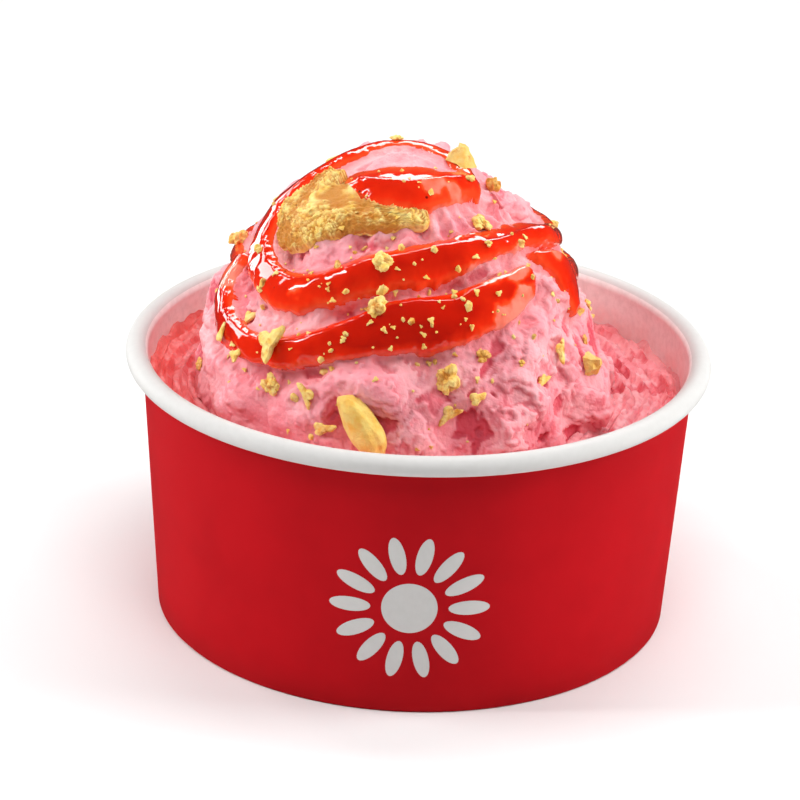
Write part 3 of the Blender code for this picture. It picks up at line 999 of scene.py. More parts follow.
@dataclass
class GelatoMound:
    """The mound of gelato, without its sauce."""

    form: MoundForm
    cuts: int = 165
    open_below: float = -0.16
    underlap: float = 0.35 * MM
    under_biscuit: tuple[float, float] = (217, 65.5)
    biscuit_reach: float = 8.5 * MM
    biscuit_bed: float = 0.9 * MM
    calm_side: tuple[float, float, float] = (222, -24, -10)
    torn_side: tuple[float, float, float] = (318, -28, -12)
    side_spread: float = 26
    calm_top: tuple[float, float] = (50, 66)

    def build(self, material: Material) -> Piece:
        """Make the mound and let it replace its solid.

        Args:
            material: the gelato's material.

        Returns:
            The mound.
        """
        bm = cube_sphere(self.cuts, self.open_below)
        bmesh.ops.edgenet_fill(bm, edges=[edge for edge in bm.edges if edge.is_boundary])
        bmesh.ops.recalc_face_normals(bm, faces=bm.faces[:])
        mound = object_from(bm, "gelato_mound_crags")
        surface = MoundField.read(self.form, coordinates(mound.data))
        covered = smooth_step(-surface.beside, 0, 0.5 * MM)
        inward = self.biscuit_reach - self.form.away(surface.towards, *self.under_biscuit)
        pressed = self.biscuit_bed * smooth_step(inward, 0, 2.5 * MM)
        radius = surface.base - self.underlap * covered - pressed
        points = np.array(self.form.centre) + surface.towards * radius[:, None]
        points[:, 2] = np.maximum(points[:, 2], self.form.seat)
        set_coordinates(mound.data, points)
        off_sauce = np.maximum(surface.beside, 0)
        calm = 0.97 * np.exp(-off_sauce / (0.8 * MM))
        set_attribute(mound.data, "crag", self.cragginess(surface, points) * (1 - calm))
        # Redder near and under the sauce: partly staining by the sauce, partly painted shade along the
        # ribbons' edges.
        set_attribute(mound.data, "stain", 0.5 * np.exp(-off_sauce / (1.5 * MM)) + 0.5 * covered)
        GelatoCrags().tear(mound, material)
        return settle(mound, "gelato", "gelato_mound")

    def cragginess(self, surface: MoundField, points: Numbers) -> Numbers:
        """How torn the surface is: smooth at the left front and on the top, rough elsewhere.

        Args:
            surface: the mound's surface.
            points: its points.

        Returns:
            The share of the tears and grains that shows at each point.
        """
        turn, rise = np.degrees(angles(surface.towards))
        left_front, right_front = (
            np.exp(-((turn % 360 - middle) / self.side_spread)**2) * smooth_step(-rise, lower, upper)
            for middle, lower, upper in (self.calm_side, self.torn_side))
        patches = 0.8 + 0.3 * right_front + 0.45 * noise_at(points + 3, 8 * MM)
        seat = smooth_step(points[:, 2], self.form.seat, self.form.seat + 2 * MM)
        smoother = (1 - 0.6 * left_front) * (1 - 0.45 * smooth_step(rise, *self.calm_top))
        return np.clip(smoother * patches, 0.1, 1.2) * seat


@dataclass
class SauceCoat:
    """The ribbons and the pool of sauce, as one closed skin on the gelato."""

    form: MoundForm
    cuts: int = 212
    open_below: float = 0.1
    keep_below: float = -0.9 * MM
    root: float = 1.0 * MM
    thin_and_highlight_share: float = 0.9
    painted_shade_share: float = 0.9
    # Thin sauce and painted highlight: at these spots the colour turns salmon, painting soft salmon
    # reflections as well as thinner sauce.
    thin_and_highlight_spots: list[tuple[float, float, float]] = field(default_factory=lambda: [
        (318, 47, 3.4 * MM), (306, 48, 3.0 * MM), (330, 50, 2.6 * MM), (318, 38, 3.6 * MM),
        (308, 36, 3.0 * MM), (300, 74, 2.4 * MM), (312, 71, 2.2 * MM), (192, 34, 3.2 * MM),
        (345, 45, 2.4 * MM), (232, 41, 1.6 * MM),
    ])
    # Painted shade: at these spots on the front the colour is darkened as if the sauce were thicker, for the
    # shade there.
    painted_shade_spots: list[tuple[float, float, float]] = field(default_factory=lambda: [
        (262, 34, 7.0 * MM), (280, 37, 9.0 * MM), (208, 24, 4.0 * MM),
    ])

    def build(self, material: Material) -> Piece:
        """Make the sauce as a closed skin.

        Args:
            material: the sauce's material.

        Returns:
            The sauce.
        """
        bm = cube_sphere(self.cuts, self.open_below)
        towards = np.array([vertex.co for vertex in bm.verts])
        surface = MoundField.read(self.form, towards)
        layer = bm.verts.layers.int.new("number")
        for number, vertex in enumerate(bm.verts):
            vertex[layer] = number
        dry = [vertex for vertex in bm.verts if surface.sauce[vertex[layer]] < self.keep_below]
        bmesh.ops.delete(bm, geom=dry, context="VERTS")
        loose = [vertex for vertex in bm.verts if not vertex.link_faces]
        bmesh.ops.delete(bm, geom=loose, context="VERTS")
        inner, outer = extruded(bm)
        centre = np.array(self.form.centre)
        for vertices, radius in ((outer, surface.base + surface.sauce), (inner, surface.base - self.root)):
            for vertex in vertices:
                number = vertex[layer]
                vertex.co = centre + towards[number] * radius[number]
        bmesh.ops.recalc_face_normals(bm, faces=bm.faces[:])
        numbers = np.array([vertex[layer] for vertex in bm.verts])
        bm.verts.layers.int.remove(layer)
        sauce = object_from(bm, "fruit_sauce")
        set_attribute(sauce.data, "sauce_depth", self.depth_with_painted_light(surface)[numbers])
        dress(sauce, material)
        return settle(sauce, "sauce")

    def depth_with_painted_light(self, surface: MoundField) -> Numbers:
        """Depth of the sauce in millimetres, as its colour shows it, with painted light added: less at the
        thin spots, which also paint soft highlights, and more at the spots of painted shade.

        Args:
            surface: the mound's surface and its sauce.

        Returns:
            The depth at each direction, with the thin spots and their painted highlights, and the spots of
            painted shade.
        """
        shown = np.hypot(surface.sauce / MM, 0.25)
        ragged = 0.9 * MM * noise_at(surface.towards * self.form.scale, 2.6 * MM, 3)
        for azimuth, elevation, reach in self.thin_and_highlight_spots:
            away = self.form.away(surface.towards, azimuth, elevation) + ragged
            shown = shown * (1 - self.thin_and_highlight_share * smooth_step(reach - away, 0, 1.2 * MM))
        for azimuth, elevation, reach in self.painted_shade_spots:
            away = self.form.away(surface.towards, azimuth, elevation)
            shown = shown * (1 + self.painted_shade_share * np.exp(-(away / reach)**2 * 2))
        return shown


def turned(name: str, outline: list[tuple[float, float]], steps: int, closed: bool = False) -> Piece:
    """Turn an outline round the cup's axis.

    Args:
        name: the piece's name.
        outline: radius and height of each point, down the outer side.
        steps: how many steps make the full turn.
        closed: whether the last point joins the first.

    Returns:
        The turned object, as plain mesh.
    """
    bm = bmesh.new()
    points = [bm.verts.new((radius, 0, height)) for radius, height in outline]
    ends = points[1:] + points[:1] if closed else points[1:]
    for start, end in zip(points, ends):
        bm.edges.new((start, end))
    made = object_from(bm, name)
    screw = made.modifiers.new("turn", "SCREW")
    screw.steps = steps
    screw.render_steps = steps
    screw.use_merge_vertices = True
    screw.merge_threshold = 0.01 * MM
    bake_modifiers(made)
    return made


@dataclass
class PaperCup:
    """The printed paper cup, with its rolled rim, its hem and the seam at its back."""

    height: float = 46.0 * MM
    rim_radius: float = 47.97 * MM
    rim_half_width: float = 1.8 * MM
    rim_half_height: float = 1.6 * MM
    neck_radius: float = 45.2 * MM
    foot_radius: float = 42.5 * MM
    paper: float = 0.7 * MM
    hem_thickness: float = 1.6 * MM
    hem_height: float = 6.0 * MM
    hem_round: tuple[float, float] = (0.3 * MM, 0.35 * MM)
    seam_at: float = math.radians(78)
    seam_width: float = 7.0 * MM
    seam_rise: float = 0.28 * MM
    inner_top: float = 45.3 * MM
    sharp_from: float = math.radians(50)
    steps: int = 256

    @property
    def neck(self) -> float:
        """Height of the neck under the rolled rim."""
        return self.height - 2 * self.rim_half_height

    def wall_radius(self, height: Numbers | float) -> Numbers | float:
        """Outer radius of the wall at a height."""
        return self.foot_radius + (self.neck_radius - self.foot_radius) * height / self.neck

    def inside_radius(self, height: Numbers | float) -> Numbers | float:
        """Inner radius of the wall at a height."""
        return self.wall_radius(height) - self.paper

    def outline(self) -> list[tuple[float, float]]:
        """The wall's section, from the rim's inner side over the roll and down.

        Returns:
            Radius and height of each point.
        """
        centre = self.rim_radius - self.rim_half_width
        middle = self.height - self.rim_half_height
        roll = [math.radians(degrees) for degrees in range(190, -76, -8)]
        across, up = self.hem_round
        inner = self.foot_radius - self.hem_thickness
        outer_heights = [self.neck * k / 8 for k in range(7, 0, -1)] + [up]
        inner_heights = [self.hem_height] + [z * MM for z in (14, 22, 30, 34, 38, 41)] + [self.neck]
        return [
            *((centre + self.rim_half_width * math.cos(angle),
               middle + self.rim_half_height * math.sin(angle)) for angle in roll),
            (self.neck_radius + 0.05 * MM, self.neck),
            *((self.wall_radius(height), height) for height in outer_heights),
            (self.foot_radius - across, 0.0),
            (inner + across, 0.0),
            (inner, up),
            (inner, self.hem_height),
            *((self.inside_radius(height), height) for height in inner_heights),
        ]

    def build(self, red: Material, white: Material, filmed: Material) -> Piece:
        """Make the cup's wall and let it replace its solid.

        Args:
            red: the print outside.
            white: the bare paper of the rim and hem.
            filmed: the paper inside, with its film of gelato.

        Returns:
            The wall.
        """
        wall = turned("paper_wall", self.outline(), self.steps, closed=True)
        points = coordinates(wall.data)
        self.raise_seam(points)
        set_coordinates(wall.data, points)
        dress(wall, red, white, filmed)
        for face in wall.data.polygons:
            face.material_index = self.finish_of(face)
        wall.data.set_sharp_from_angle(angle=self.sharp_from)
        return settle(wall, "printed_paper", "cup_wall")

    def raise_seam(self, points: Numbers) -> None:
        """Lift the outer wall where the paper overlaps itself at the back.

        Args:
            points: the wall's points, which are moved.
        """
        radius = np.hypot(points[:, 0], points[:, 1])
        turn = np.arctan2(points[:, 1], points[:, 0])
        inside = np.abs(turn - self.seam_at) * radius < self.seam_width / 2
        outer = radius > self.wall_radius(points[:, 2]) - 0.1 * MM
        chosen = inside & outer & (points[:, 2] < self.neck - MM)
        points[chosen, :2] *= (1 + self.seam_rise / radius[chosen])[:, None]

    def finish_of(self, face: bpy.types.MeshPolygon) -> int:
        """Choose a face's finish: 0 printed, 1 bare, 2 filmed.

        Args:
            face: the face.

        Returns:
            The number of its material.
        """
        middle = face.center
        radius = math.hypot(middle.x, middle.y)
        if middle.z < self.neck + 0.2 * MM and radius > self.wall_radius(middle.z) - 0.25 * MM:
            return 0
        # Inward faces from the hem up over the rim's inner side take the lighter inside board: painted light
        # against the shade inside the cup.
        inward = face.normal.x * middle.x + face.normal.y * middle.y < 0
        return 2 if inward and self.hem_height < middle.z < self.inner_top else 1


@dataclass
class GelatoBed:
    """The gelato that fills the cup round the mound's foot."""

    cup: PaperCup
    level: float = 38.2 * MM
    tilt: float = 1.6 * MM
    high_side: float = math.radians(145)
    swirl_depth: float = 0.5 * MM
    swirl_spacing: float = 3.4 * MM
    line_depth: float = 0.40 * MM
    line_spacing: float = 1.5 * MM
    edge_rise: float = 0.9 * MM
    edge_from: float = 39 * MM
    edge_reach: float = 4 * MM
    low: float = 7.4 * MM
    steps: int = 560
    fine_from: float = 27 * MM
    ring: float = 0.42 * MM
    crag: float = 0.75
    sharp_from: float = math.radians(65)

    def height(self, points: Numbers) -> Numbers:
        """Height of the gelato's top, with the scoop's swirls and a raised ragged edge.

        Args:
            points: places on the top.

        Returns:
            The height at each place.
        """
        radius = np.hypot(points[:, 0], points[:, 1])
        across = points[:, 0] * math.cos(self.high_side) + points[:, 1] * math.sin(self.high_side)
        flat = np.column_stack([points[:, :2], np.zeros(len(points))])
        bend = 2 * noise_at(flat, 14 * MM, 1)
        swirl = self.swirl_depth * np.sin(math.tau * radius / self.swirl_spacing + bend)
        lines = self.line_depth * np.sin(math.tau * radius / self.line_spacing + 5 * bend)
        ragged = 0.6 + 1.3 * noise_at(flat + (0, 0, 0.01), 6 * MM, 3)
        edge = self.edge_rise * np.maximum(0, (radius - self.edge_from) / self.edge_reach) * ragged
        return self.level + self.tilt * across / self.cup.neck_radius + swirl + lines + edge

    def build(self, material: Material) -> Piece:
        """Make the bed and let it replace its solid.

        Args:
            material: the gelato's material.

        Returns:
            The bed.
        """
        side = self.cup.inside_radius(self.level)
        rings = [0.0, 12 * MM, 20 * MM, *np.arange(self.fine_from, side, self.ring), side]
        outline = [(radius, self.level) for radius in rings]
        outline += [(self.cup.inside_radius(self.low), self.low), (0.0, self.low)]
        bed = turned("gelato_bed_swirls", outline, self.steps)
        points = coordinates(bed.data)
        top = points[:, 2] > self.level - MM
        points[top, 2] = self.height(points[top])
        reach = np.hypot(points[:, 0], points[:, 1])
        rim = top & (reach > side - self.ring / 2)
        points[rim, :2] *= (self.cup.inside_radius(points[rim, 2]) / reach[rim])[:, None]
        set_coordinates(bed.data, points)
        by_wall = smooth_step(reach, side - 2.5 * MM, side)
        set_attribute(bed.data, "crag", self.crag * top * (1 - 0.8 * by_wall))
        # Redder by the wall, and painted shade on the left.
        set_attribute(bed.data, "stain", self.redness_and_left_shade(points, top))
        GelatoCrags(tear_size=6.5 * MM, tear_depth=4.0 * MM).tear(bed, material)
        bed.data.set_sharp_from_angle(angle=self.sharp_from)
        return settle(bed, "gelato", "gelato_bed")

    def redness_and_left_shade(self, points: Numbers, top: Numbers) -> Numbers:
        """Redder gelato by the wall, and painted shade on the left, where the bed lies in shade: redder and
        darker there.

        Args:
            points: the bed's points.
            top: which of them lie on its top.

        Returns:
            The share of the redder colour at each point.
        """
        by_wall = smooth_step(np.hypot(points[:, 0], points[:, 1]), 38 * MM, 44 * MM)
        left = smooth_step(-points[:, 0], 20 * MM, 40 * MM)
        return np.where(top, 0.20 + 0.22 * by_wall + 0.4 * left, 0.3)


@dataclass
class PrintedRosette:
    """White rosette printed on the front: petals round a disc, laid on the wall."""

    cup: PaperCup
    middle: float = 19.0 * MM
    petals: int = 14
    petal_length: float = 6.6 * MM
    petal_width: float = 2.5 * MM
    petal_reach: float = 9.4 * MM
    petal_corners: int = 24
    disc: float = 4.4 * MM
    disc_corners: int = 64
    longest_edge: float = 1.2 * MM
    thickness: float = 0.05 * MM
    facing: float = math.radians(-90)

    def lay_out(self, rosette: Piece, material: Material) -> None:
        """Fill the object with flat petals on a ring round a disc, by Geometry Nodes.

        Args:
            rosette: the empty object.
            material: the print's material.
        """
        tree = GeometryTree("rosette", {
            "Petals": self.petals, "Petal Length": self.petal_length, "Petal Width": self.petal_width,
            "Petal Reach": self.petal_reach, "Disc Radius": self.disc,
        })
        ring, unit, disc = (
            tree.add("GeometryNodeCurvePrimitiveCircle", {"Resolution": corners, "Radius": radius}).outputs[0]
            for corners, radius in ((tree.given["Petals"], tree.given["Petal Reach"]),
                                    (self.petal_corners, 0.5),
                                    (self.disc_corners, tree.given["Disc Radius"])))
        lengths = {0: tree.given["Petal Length"], 1: tree.given["Petal Width"]}
        stretch = tree.add("ShaderNodeCombineXYZ", lengths)
        petal = tree.add("GeometryNodeTransform", {"Geometry": unit, "Scale": stretch.outputs[0]}).outputs[0]
        tangent = tree.add("GeometryNodeInputTangent").outputs[0]
        turn = tree.add("FunctionNodeAlignRotationToVector", {"Vector": tangent}, axis="Y").outputs[0]
        petals = tree.add("GeometryNodeInstanceOnPoints", {
            "Points": ring, "Instance": petal, "Rotation": turn,
        }).outputs[0]
        joined = tree.add("GeometryNodeJoinGeometry", {0: petals})
        tree.feed(joined, 0, disc)
        outlines = tree.add("GeometryNodeRealizeInstances", {"Geometry": joined.outputs[0]}).outputs[0]
        filled = tree.add("GeometryNodeFillCurve", {"Curve": outlines}).outputs[0]
        tree.apply(rosette, filled, material)

    def build(self, material: Material) -> Piece:
        """Make the print as a thin skin on the wall.

        Args:
            material: the print's material.

        Returns:
            The rosette.
        """
        rosette = link_object("printed_rosette", bpy.data.meshes.new("printed_rosette"))
        self.lay_out(rosette, material)
        bm = bmesh.new()
        bm.from_mesh(rosette.data)
        bmesh.ops.triangulate(bm, faces=bm.faces[:])
        for _ in range(2):
            long = [edge for edge in bm.edges if edge.calc_length() > self.longest_edge]
            bmesh.ops.subdivide_edges(bm, edges=long, cuts=1)
            bmesh.ops.triangulate(bm, faces=bm.faces[:])
        for vertices, proud in zip(extruded(bm), (-self.thickness, self.thickness)):
            for vertex in vertices:
                vertex.co = self.on_wall(vertex.co.x, vertex.co.y, proud)
        bmesh.ops.recalc_face_normals(bm, faces=bm.faces[:])
        bm.to_mesh(rosette.data)
        bm.free()
        return settle(rosette, "white_paper")

    def on_wall(self, across: float, up: float, proud: float) -> Vector:
        """Wrap a flat point round the wall.

        Args:
            across: distance to the right of the rosette's middle.
            up: distance above it.
            proud: how far it stands off the wall.

        Returns:
            The point on the cup.
        """
        level = self.middle + up
        angle = self.facing + across / self.cup.wall_radius(self.middle)
        radius = self.cup.wall_radius(level) + proud
        return Vector((radius * math.cos(angle), radius * math.sin(angle), level))


class Surface:
    """The finished food, which toppings are dropped on."""

    def __init__(self, form: MoundForm, pieces: list[Piece]) -> None:
        """Index the finished pieces for rays.

        Args:
            form: the mound's form.
            pieces: the finished pieces.
        """
        self.form = form
        self.trees = []
        for piece in pieces:
            vertices = [vertex.co.copy() for vertex in piece.data.vertices]
            faces = [tuple(face.vertices) for face in piece.data.polygons]
            self.trees.append(BVHTree.FromPolygons(vertices, faces))

    def drop(self, out: Vector) -> Vector:
        """Find the outermost point of the food in a direction from the mound's centre.

        Args:
            out: the direction.

        Returns:
            The point on the food, or on the mound's plain form where there is none.
        """
        start = self.form.centre + out * 2 * self.form.scale
        hits = [tree.ray_cast(start, -out)[0] for tree in self.trees]
        places = [place for place in hits if place is not None]
        if not places:
            return self.form.centre + self.form.plain_point(out)
        return max(places, key=lambda place: (place - self.form.centre).length)


class CrumbKind(IntEnum):
    """Shapes of biscuit crumb, in the order of their model's names."""

    CHUNK = 0
    CLUSTER = 1
    FLAKE = 2
    SHARP = 3
    SPECK = 4
    TWIG = 5


CHUNK, CLUSTER, FLAKE, SHARP, SPECK, TWIG = CrumbKind


@dataclass(frozen=True)
class Crumb:
    """One crumb on the mound, with its length and width in millimetres and its turn in degrees."""

    azimuth: float
    elevation: float
    length: float
    width: float
    kind: CrumbKind = CHUNK
    turn: float = 0.0
    tone: float = 0.0
    stand: float = 0.75


@dataclass
class CrumbShapes:
    """The unit shapes that crumbs are copies of."""

    detail: int = 4
    sharp_from: float = math.radians(30)

    def build(self) -> bpy.types.Collection:
        """Make one object for each kind of crumb, in a collection.

        Returns:
            The collection.
        """
        collection = bpy.data.collections.new("crumb_shapes")
        shapes = {
            CHUNK: self.knobbly(self.detail, 12, 0.27, 1), CLUSTER: self.knobbly(self.detail, 26, 0.31, 2),
            FLAKE: self.flake(0.42, 3), SHARP: self.sharp(), SPECK: self.knobbly(1, 4, 0.2, 4),
            TWIG: self.flake(0.62, 5),
        }
        for kind, bm in shapes.items():
            mesh = bpy.data.meshes.new(f"crumb_{int(kind)}_{kind.name.lower()}")
            bm.to_mesh(mesh)
            bm.free()
            mesh.shade_smooth()
            mesh.set_sharp_from_angle(angle=self.sharp_from)
            collection.objects.link(bpy.data.objects.new(mesh.name, mesh))
        return collection

    @staticmethod
    def knobbly(detail: int, knobs: int, spread: float, seed: int) -> Shape:
        """A lump of small knobs grown together, about 1 across.

        Args:
            detail: how finely it is divided.
            knobs: how many knobs it has.
            spread: how far the knobs' middles lie from its own.
            seed: the draw of the knobs.

        Returns:
            The lump.
        """
        draw = random.Random(seed)
        middles = [Vector((draw.gauss(0, 1), draw.gauss(0, 1), draw.gauss(0, 0.8))).normalized()
                   * spread * draw.uniform(0.75, 1.15) for _ in range(knobs)]
        sizes = [draw.uniform(0.10, 0.21) for _ in range(knobs)]
        bm = bmesh.new()
        bmesh.ops.create_icosphere(bm, subdivisions=detail, radius=0.5)
        pit_shades = bm.verts.layers.float.new("pit")
        for vertex in bm.verts:
            out = vertex.co.normalized()
            reaches = [0.22]
            for middle, size in zip(middles, sizes):
                along = out.dot(middle)
                inside = along * along - middle.length_squared + size * size
                if inside > 0 and along > 0:
                    reaches.append(along + math.sqrt(inside))
            reaches.sort()
            gap = reaches[-1] - reaches[-2] if len(reaches) > 1 else 0.0
            rough = 0.07 * noise.noise(out * 4.0 + Vector((seed, 0, 0))) + 0.03 * noise.noise(out * 11.0)
            vertex.co = out * (reaches[-1] + rough)
            # Painted shade in the creases between the knobs.
            vertex[pit_shades] = max(0.0, 1 - gap / 0.05) * (0.6 if detail > 1 else 0.0)
        return bm

    @staticmethod
    def flake(branching: float, seed: int) -> Shape:
        """A thin broken flake with arms, about 1 across.

        Args:
            branching: how deep the notches between its arms are.
            seed: where in the noise it is read.

        Returns:
            The flake.
        """
        bm = bmesh.new()
        bmesh.ops.create_uvsphere(bm, u_segments=30, v_segments=8, radius=1)
        for vertex in bm.verts:
            angle = math.atan2(vertex.co.y, vertex.co.x)
            flat = math.hypot(vertex.co.x, vertex.co.y)
            arms = 1 - branching * (0.5 + 0.5 * math.cos(3 * angle + seed))**0.7
            ragged = 0.22 * noise.noise(Vector((math.cos(angle), math.sin(angle), seed)) * 2.6)
            reach = 0.62 * (arms + ragged) * flat**0.6
            curl = 0.35 * reach * reach * math.cos(2 * angle + seed)
            thick = 0.13 * vertex.co.z * (1 + 0.5 * noise.noise(vertex.co * 2.2 + Vector((0, 0, seed))))
            vertex.co = Vector((reach * math.cos(angle), reach * math.sin(angle), thick * 1.8 + curl))
        return bm

    @staticmethod
    def sharp() -> Shape:
        """A broken piece with flat faces that rises to a point.

        Returns:
            The piece, about 1 across.
        """
        draw = random.Random(11)
        bm = bmesh.new()
        bmesh.ops.create_cone(bm, cap_ends=True, segments=5, radius1=0.60, radius2=0.16, depth=0.85)
        bmesh.ops.subdivide_edges(bm, edges=bm.edges[:], cuts=3, use_grid_fill=True)
        for vertex in bm.verts:
            rough = noise.noise_vector(vertex.co * 3.1) * 0.13 + noise.noise_vector(vertex.co * 9) * 0.04
            lean = Vector((0.16, -0.05, 0)) * (vertex.co.z + 0.5)
            vertex.co = vertex.co + rough + lean + Vector((draw.uniform(-0.01, 0.01), 0, 0))
        bmesh.ops.recalc_face_normals(bm, faces=bm.faces[:])
        return bm


@dataclass
class CrumbScatter:
    """Biscuit crumbs set on the food by Geometry Nodes."""

    name: str
    crumbs: list[Crumb]
    sink: float = 0.24

    def build(self, surface: Surface, shapes: bpy.types.Collection, material: Material) -> Piece:
        """Set the crumbs on the food as one piece.

        Args:
            surface: the finished food.
            shapes: the collection of crumb shapes.
            material: the crumbs' material.

        Returns:
            The crumbs.
        """
        made = self.points(surface)
        tree = GeometryTree("crumbs", {"Size": 1.0})
        models = tree.add("GeometryNodeCollectionInfo", {
            "Collection": shapes, "Separate Children": True, "Reset Children": True,
        }).outputs[0]
        size = {0: tree.stored("size", "FLOAT_VECTOR"), "Scale": tree.given["Size"]}
        turn = tree.add("FunctionNodeEulerToRotation", {0: tree.stored("turn", "FLOAT_VECTOR")}).outputs[0]
        placed = tree.add("GeometryNodeInstanceOnPoints", {
            "Points": tree.given["Geometry"], "Instance": models, "Pick Instance": True,
            "Instance Index": tree.stored("kind", "INT"), "Rotation": turn,
            "Scale": tree.vector("SCALE", size),
        }).outputs[0]
        tree.apply(made, placed, material)
        return settle(made, "biscuit")

    def points(self, surface: Surface) -> Piece:
        """Make a point for each crumb, which knows its kind, turn, size and tone.

        Args:
            surface: the finished food.

        Returns:
            The points as one object.
        """
        places, turns, sizes = [], [], []
        for crumb in self.crumbs:
            axes = axes_at(crumb.azimuth, crumb.elevation)
            thickness = min(crumb.length, crumb.width) * crumb.stand * MM
            spin = Matrix.Rotation(math.radians(crumb.turn), 3, "Z")
            places.append(surface.drop(axes[2]) + axes[2] * (0.5 - self.sink) * thickness)
            turns.append((Matrix(axes).transposed() @ spin).to_euler()[:])
            sizes.append((crumb.length * MM, crumb.width * MM, thickness))
        mesh = bpy.data.meshes.new(self.name)
        mesh.from_pydata(places, [], [])
        kinds = mesh.attributes.new("kind", "INT", "POINT")
        kinds.data.foreach_set("value", [int(crumb.kind) for crumb in self.crumbs])
        for label, rows in (("turn", turns), ("size", sizes)):
            vectors = mesh.attributes.new(label, "FLOAT_VECTOR", "POINT")
            vectors.data.foreach_set("vector", np.array(rows, np.float32).ravel())
        set_attribute(mesh, "tone", np.array([crumb.tone for crumb in self.crumbs]))
        return link_object(self.name, mesh)


@dataclass
class CrumbPlan:
    """Where the crumbs lie: the large ones listed one by one, the rest by seeded draws."""

    seed: int = 7
    behind: int = 20
    behind_azimuths: tuple[float, float] = (5, 165)
    behind_elevations: tuple[float, float] = (12, 72)
    behind_lengths: tuple[float, float] = (1.8, 4.2)
    specks: int = 230
    speck_lengths: tuple[float, float] = (0.55, 1.25)
    front: list[Crumb] = field(default_factory=lambda: [Crumb(*row) for row in (
        (8, 76, 5.6, 4.6, SHARP, 20, 0.3, 0.67), (6, 66, 3.4, 3.0, CHUNK, 80, 0.45, 1.3),
        (100, 81, 2.8, 2.0, CHUNK, 10), (321, 62, 4.2, 3.8, CHUNK, 60), (336, 72, 2.1, 1.5, FLAKE),
        (201, 46, 1.8, 1.4, SHARP, 30), (170, 39, 4.2, 3.8, CLUSTER, 40, 0.15),
        (264, 52, 4.1, 3.6, CLUSTER, -50), (263, 41, 4.1, 3.5, CLUSTER, 80),
        (264, 46, 2.0, 1.6, SHARP, 60), (212, 29, 3.6, 2.3, TWIG, 70),
        (209, 22, 3.1, 1.5, FLAKE, 95), (218, 19, 2.6, 2.0, FLAKE, 50), (231, 26, 6.4, 4.2, TWIG, 85),
        (232, 15, 4.6, 3.6, CHUNK, -40), (245, 15, 4.6, 2.2, TWIG, -55), (251, 7, 3.6, 2.0, FLAKE, 10),
        # The chunk at azimuth 193, elevation 7 is given a tone of 0.4 as painted shade, for the shade at the
        # mound's left foot.
        (193, 7, 3.0, 2.6, CHUNK, 0, 0.4), (286, 22, 5.6, 4.2, CLUSTER, 80, 0.1),
        (298, 27, 3.1, 2.4, CHUNK, 0, 0.5),
        (328, 22, 4.4, 2.2, TWIG, 60), (318, 16, 4.2, 2.0, TWIG, 20), (340, 13, 4.6, 3.6, SHARP, 110, 0.3),
        (349, 18, 2.2, 1.6, CHUNK, 60, 0.5), (294, 16, 2.8, 2.0, FLAKE, 10), (286, 12, 4.6, 2.4, TWIG, 30),
        (309, 23, 1.4, 1.3, CHUNK, 0, 0.2), (312, 55, 1.6, 1.4, CHUNK, 0, 0.1),
    )])

    def large(self) -> list[Crumb]:
        """Every crumb that the solid has too.

        Returns:
            The crumbs, those in front first.
        """
        draw = random.Random(self.seed)
        crumbs = list(self.front)
        first, last = self.behind_azimuths
        for step in range(self.behind):
            azimuth = first + (last - first) * (step + draw.uniform(0.2, 0.8)) / self.behind
            elevation = draw.uniform(*self.behind_elevations)
            length = draw.uniform(*self.behind_lengths)
            width = length * draw.uniform(0.6, 0.95)
            kind = (CHUNK, CLUSTER, TWIG, FLAKE)[step % 4]
            crumbs.append(Crumb(azimuth, elevation, length, width, kind, 77.0 * step, 0.12 * (step % 3)))
        return crumbs

    def small(self) -> list[Crumb]:
        """Specks of biscuit, most of them on the upper front and the sauce.

        Returns:
            The specks.
        """
        draw = random.Random(self.seed + 5)
        crumbs = []
        for step in range(self.specks):
            azimuth = draw.gauss(268, 38) if step % 4 else draw.uniform(0, 360)
            elevation = min(82.0, max(4.0, draw.gauss(38, 18)))
            length = draw.uniform(*self.speck_lengths) * (1.0 if step % 9 else 1.5)
            crumbs.append(Crumb(azimuth, elevation, length, length * draw.uniform(0.5, 0.9),
                                (SHARP, SPECK, FLAKE)[step % 3], draw.uniform(0, 360), draw.uniform(0, 0.12),
                                draw.uniform(0.6, 1.0)))
        return crumbs


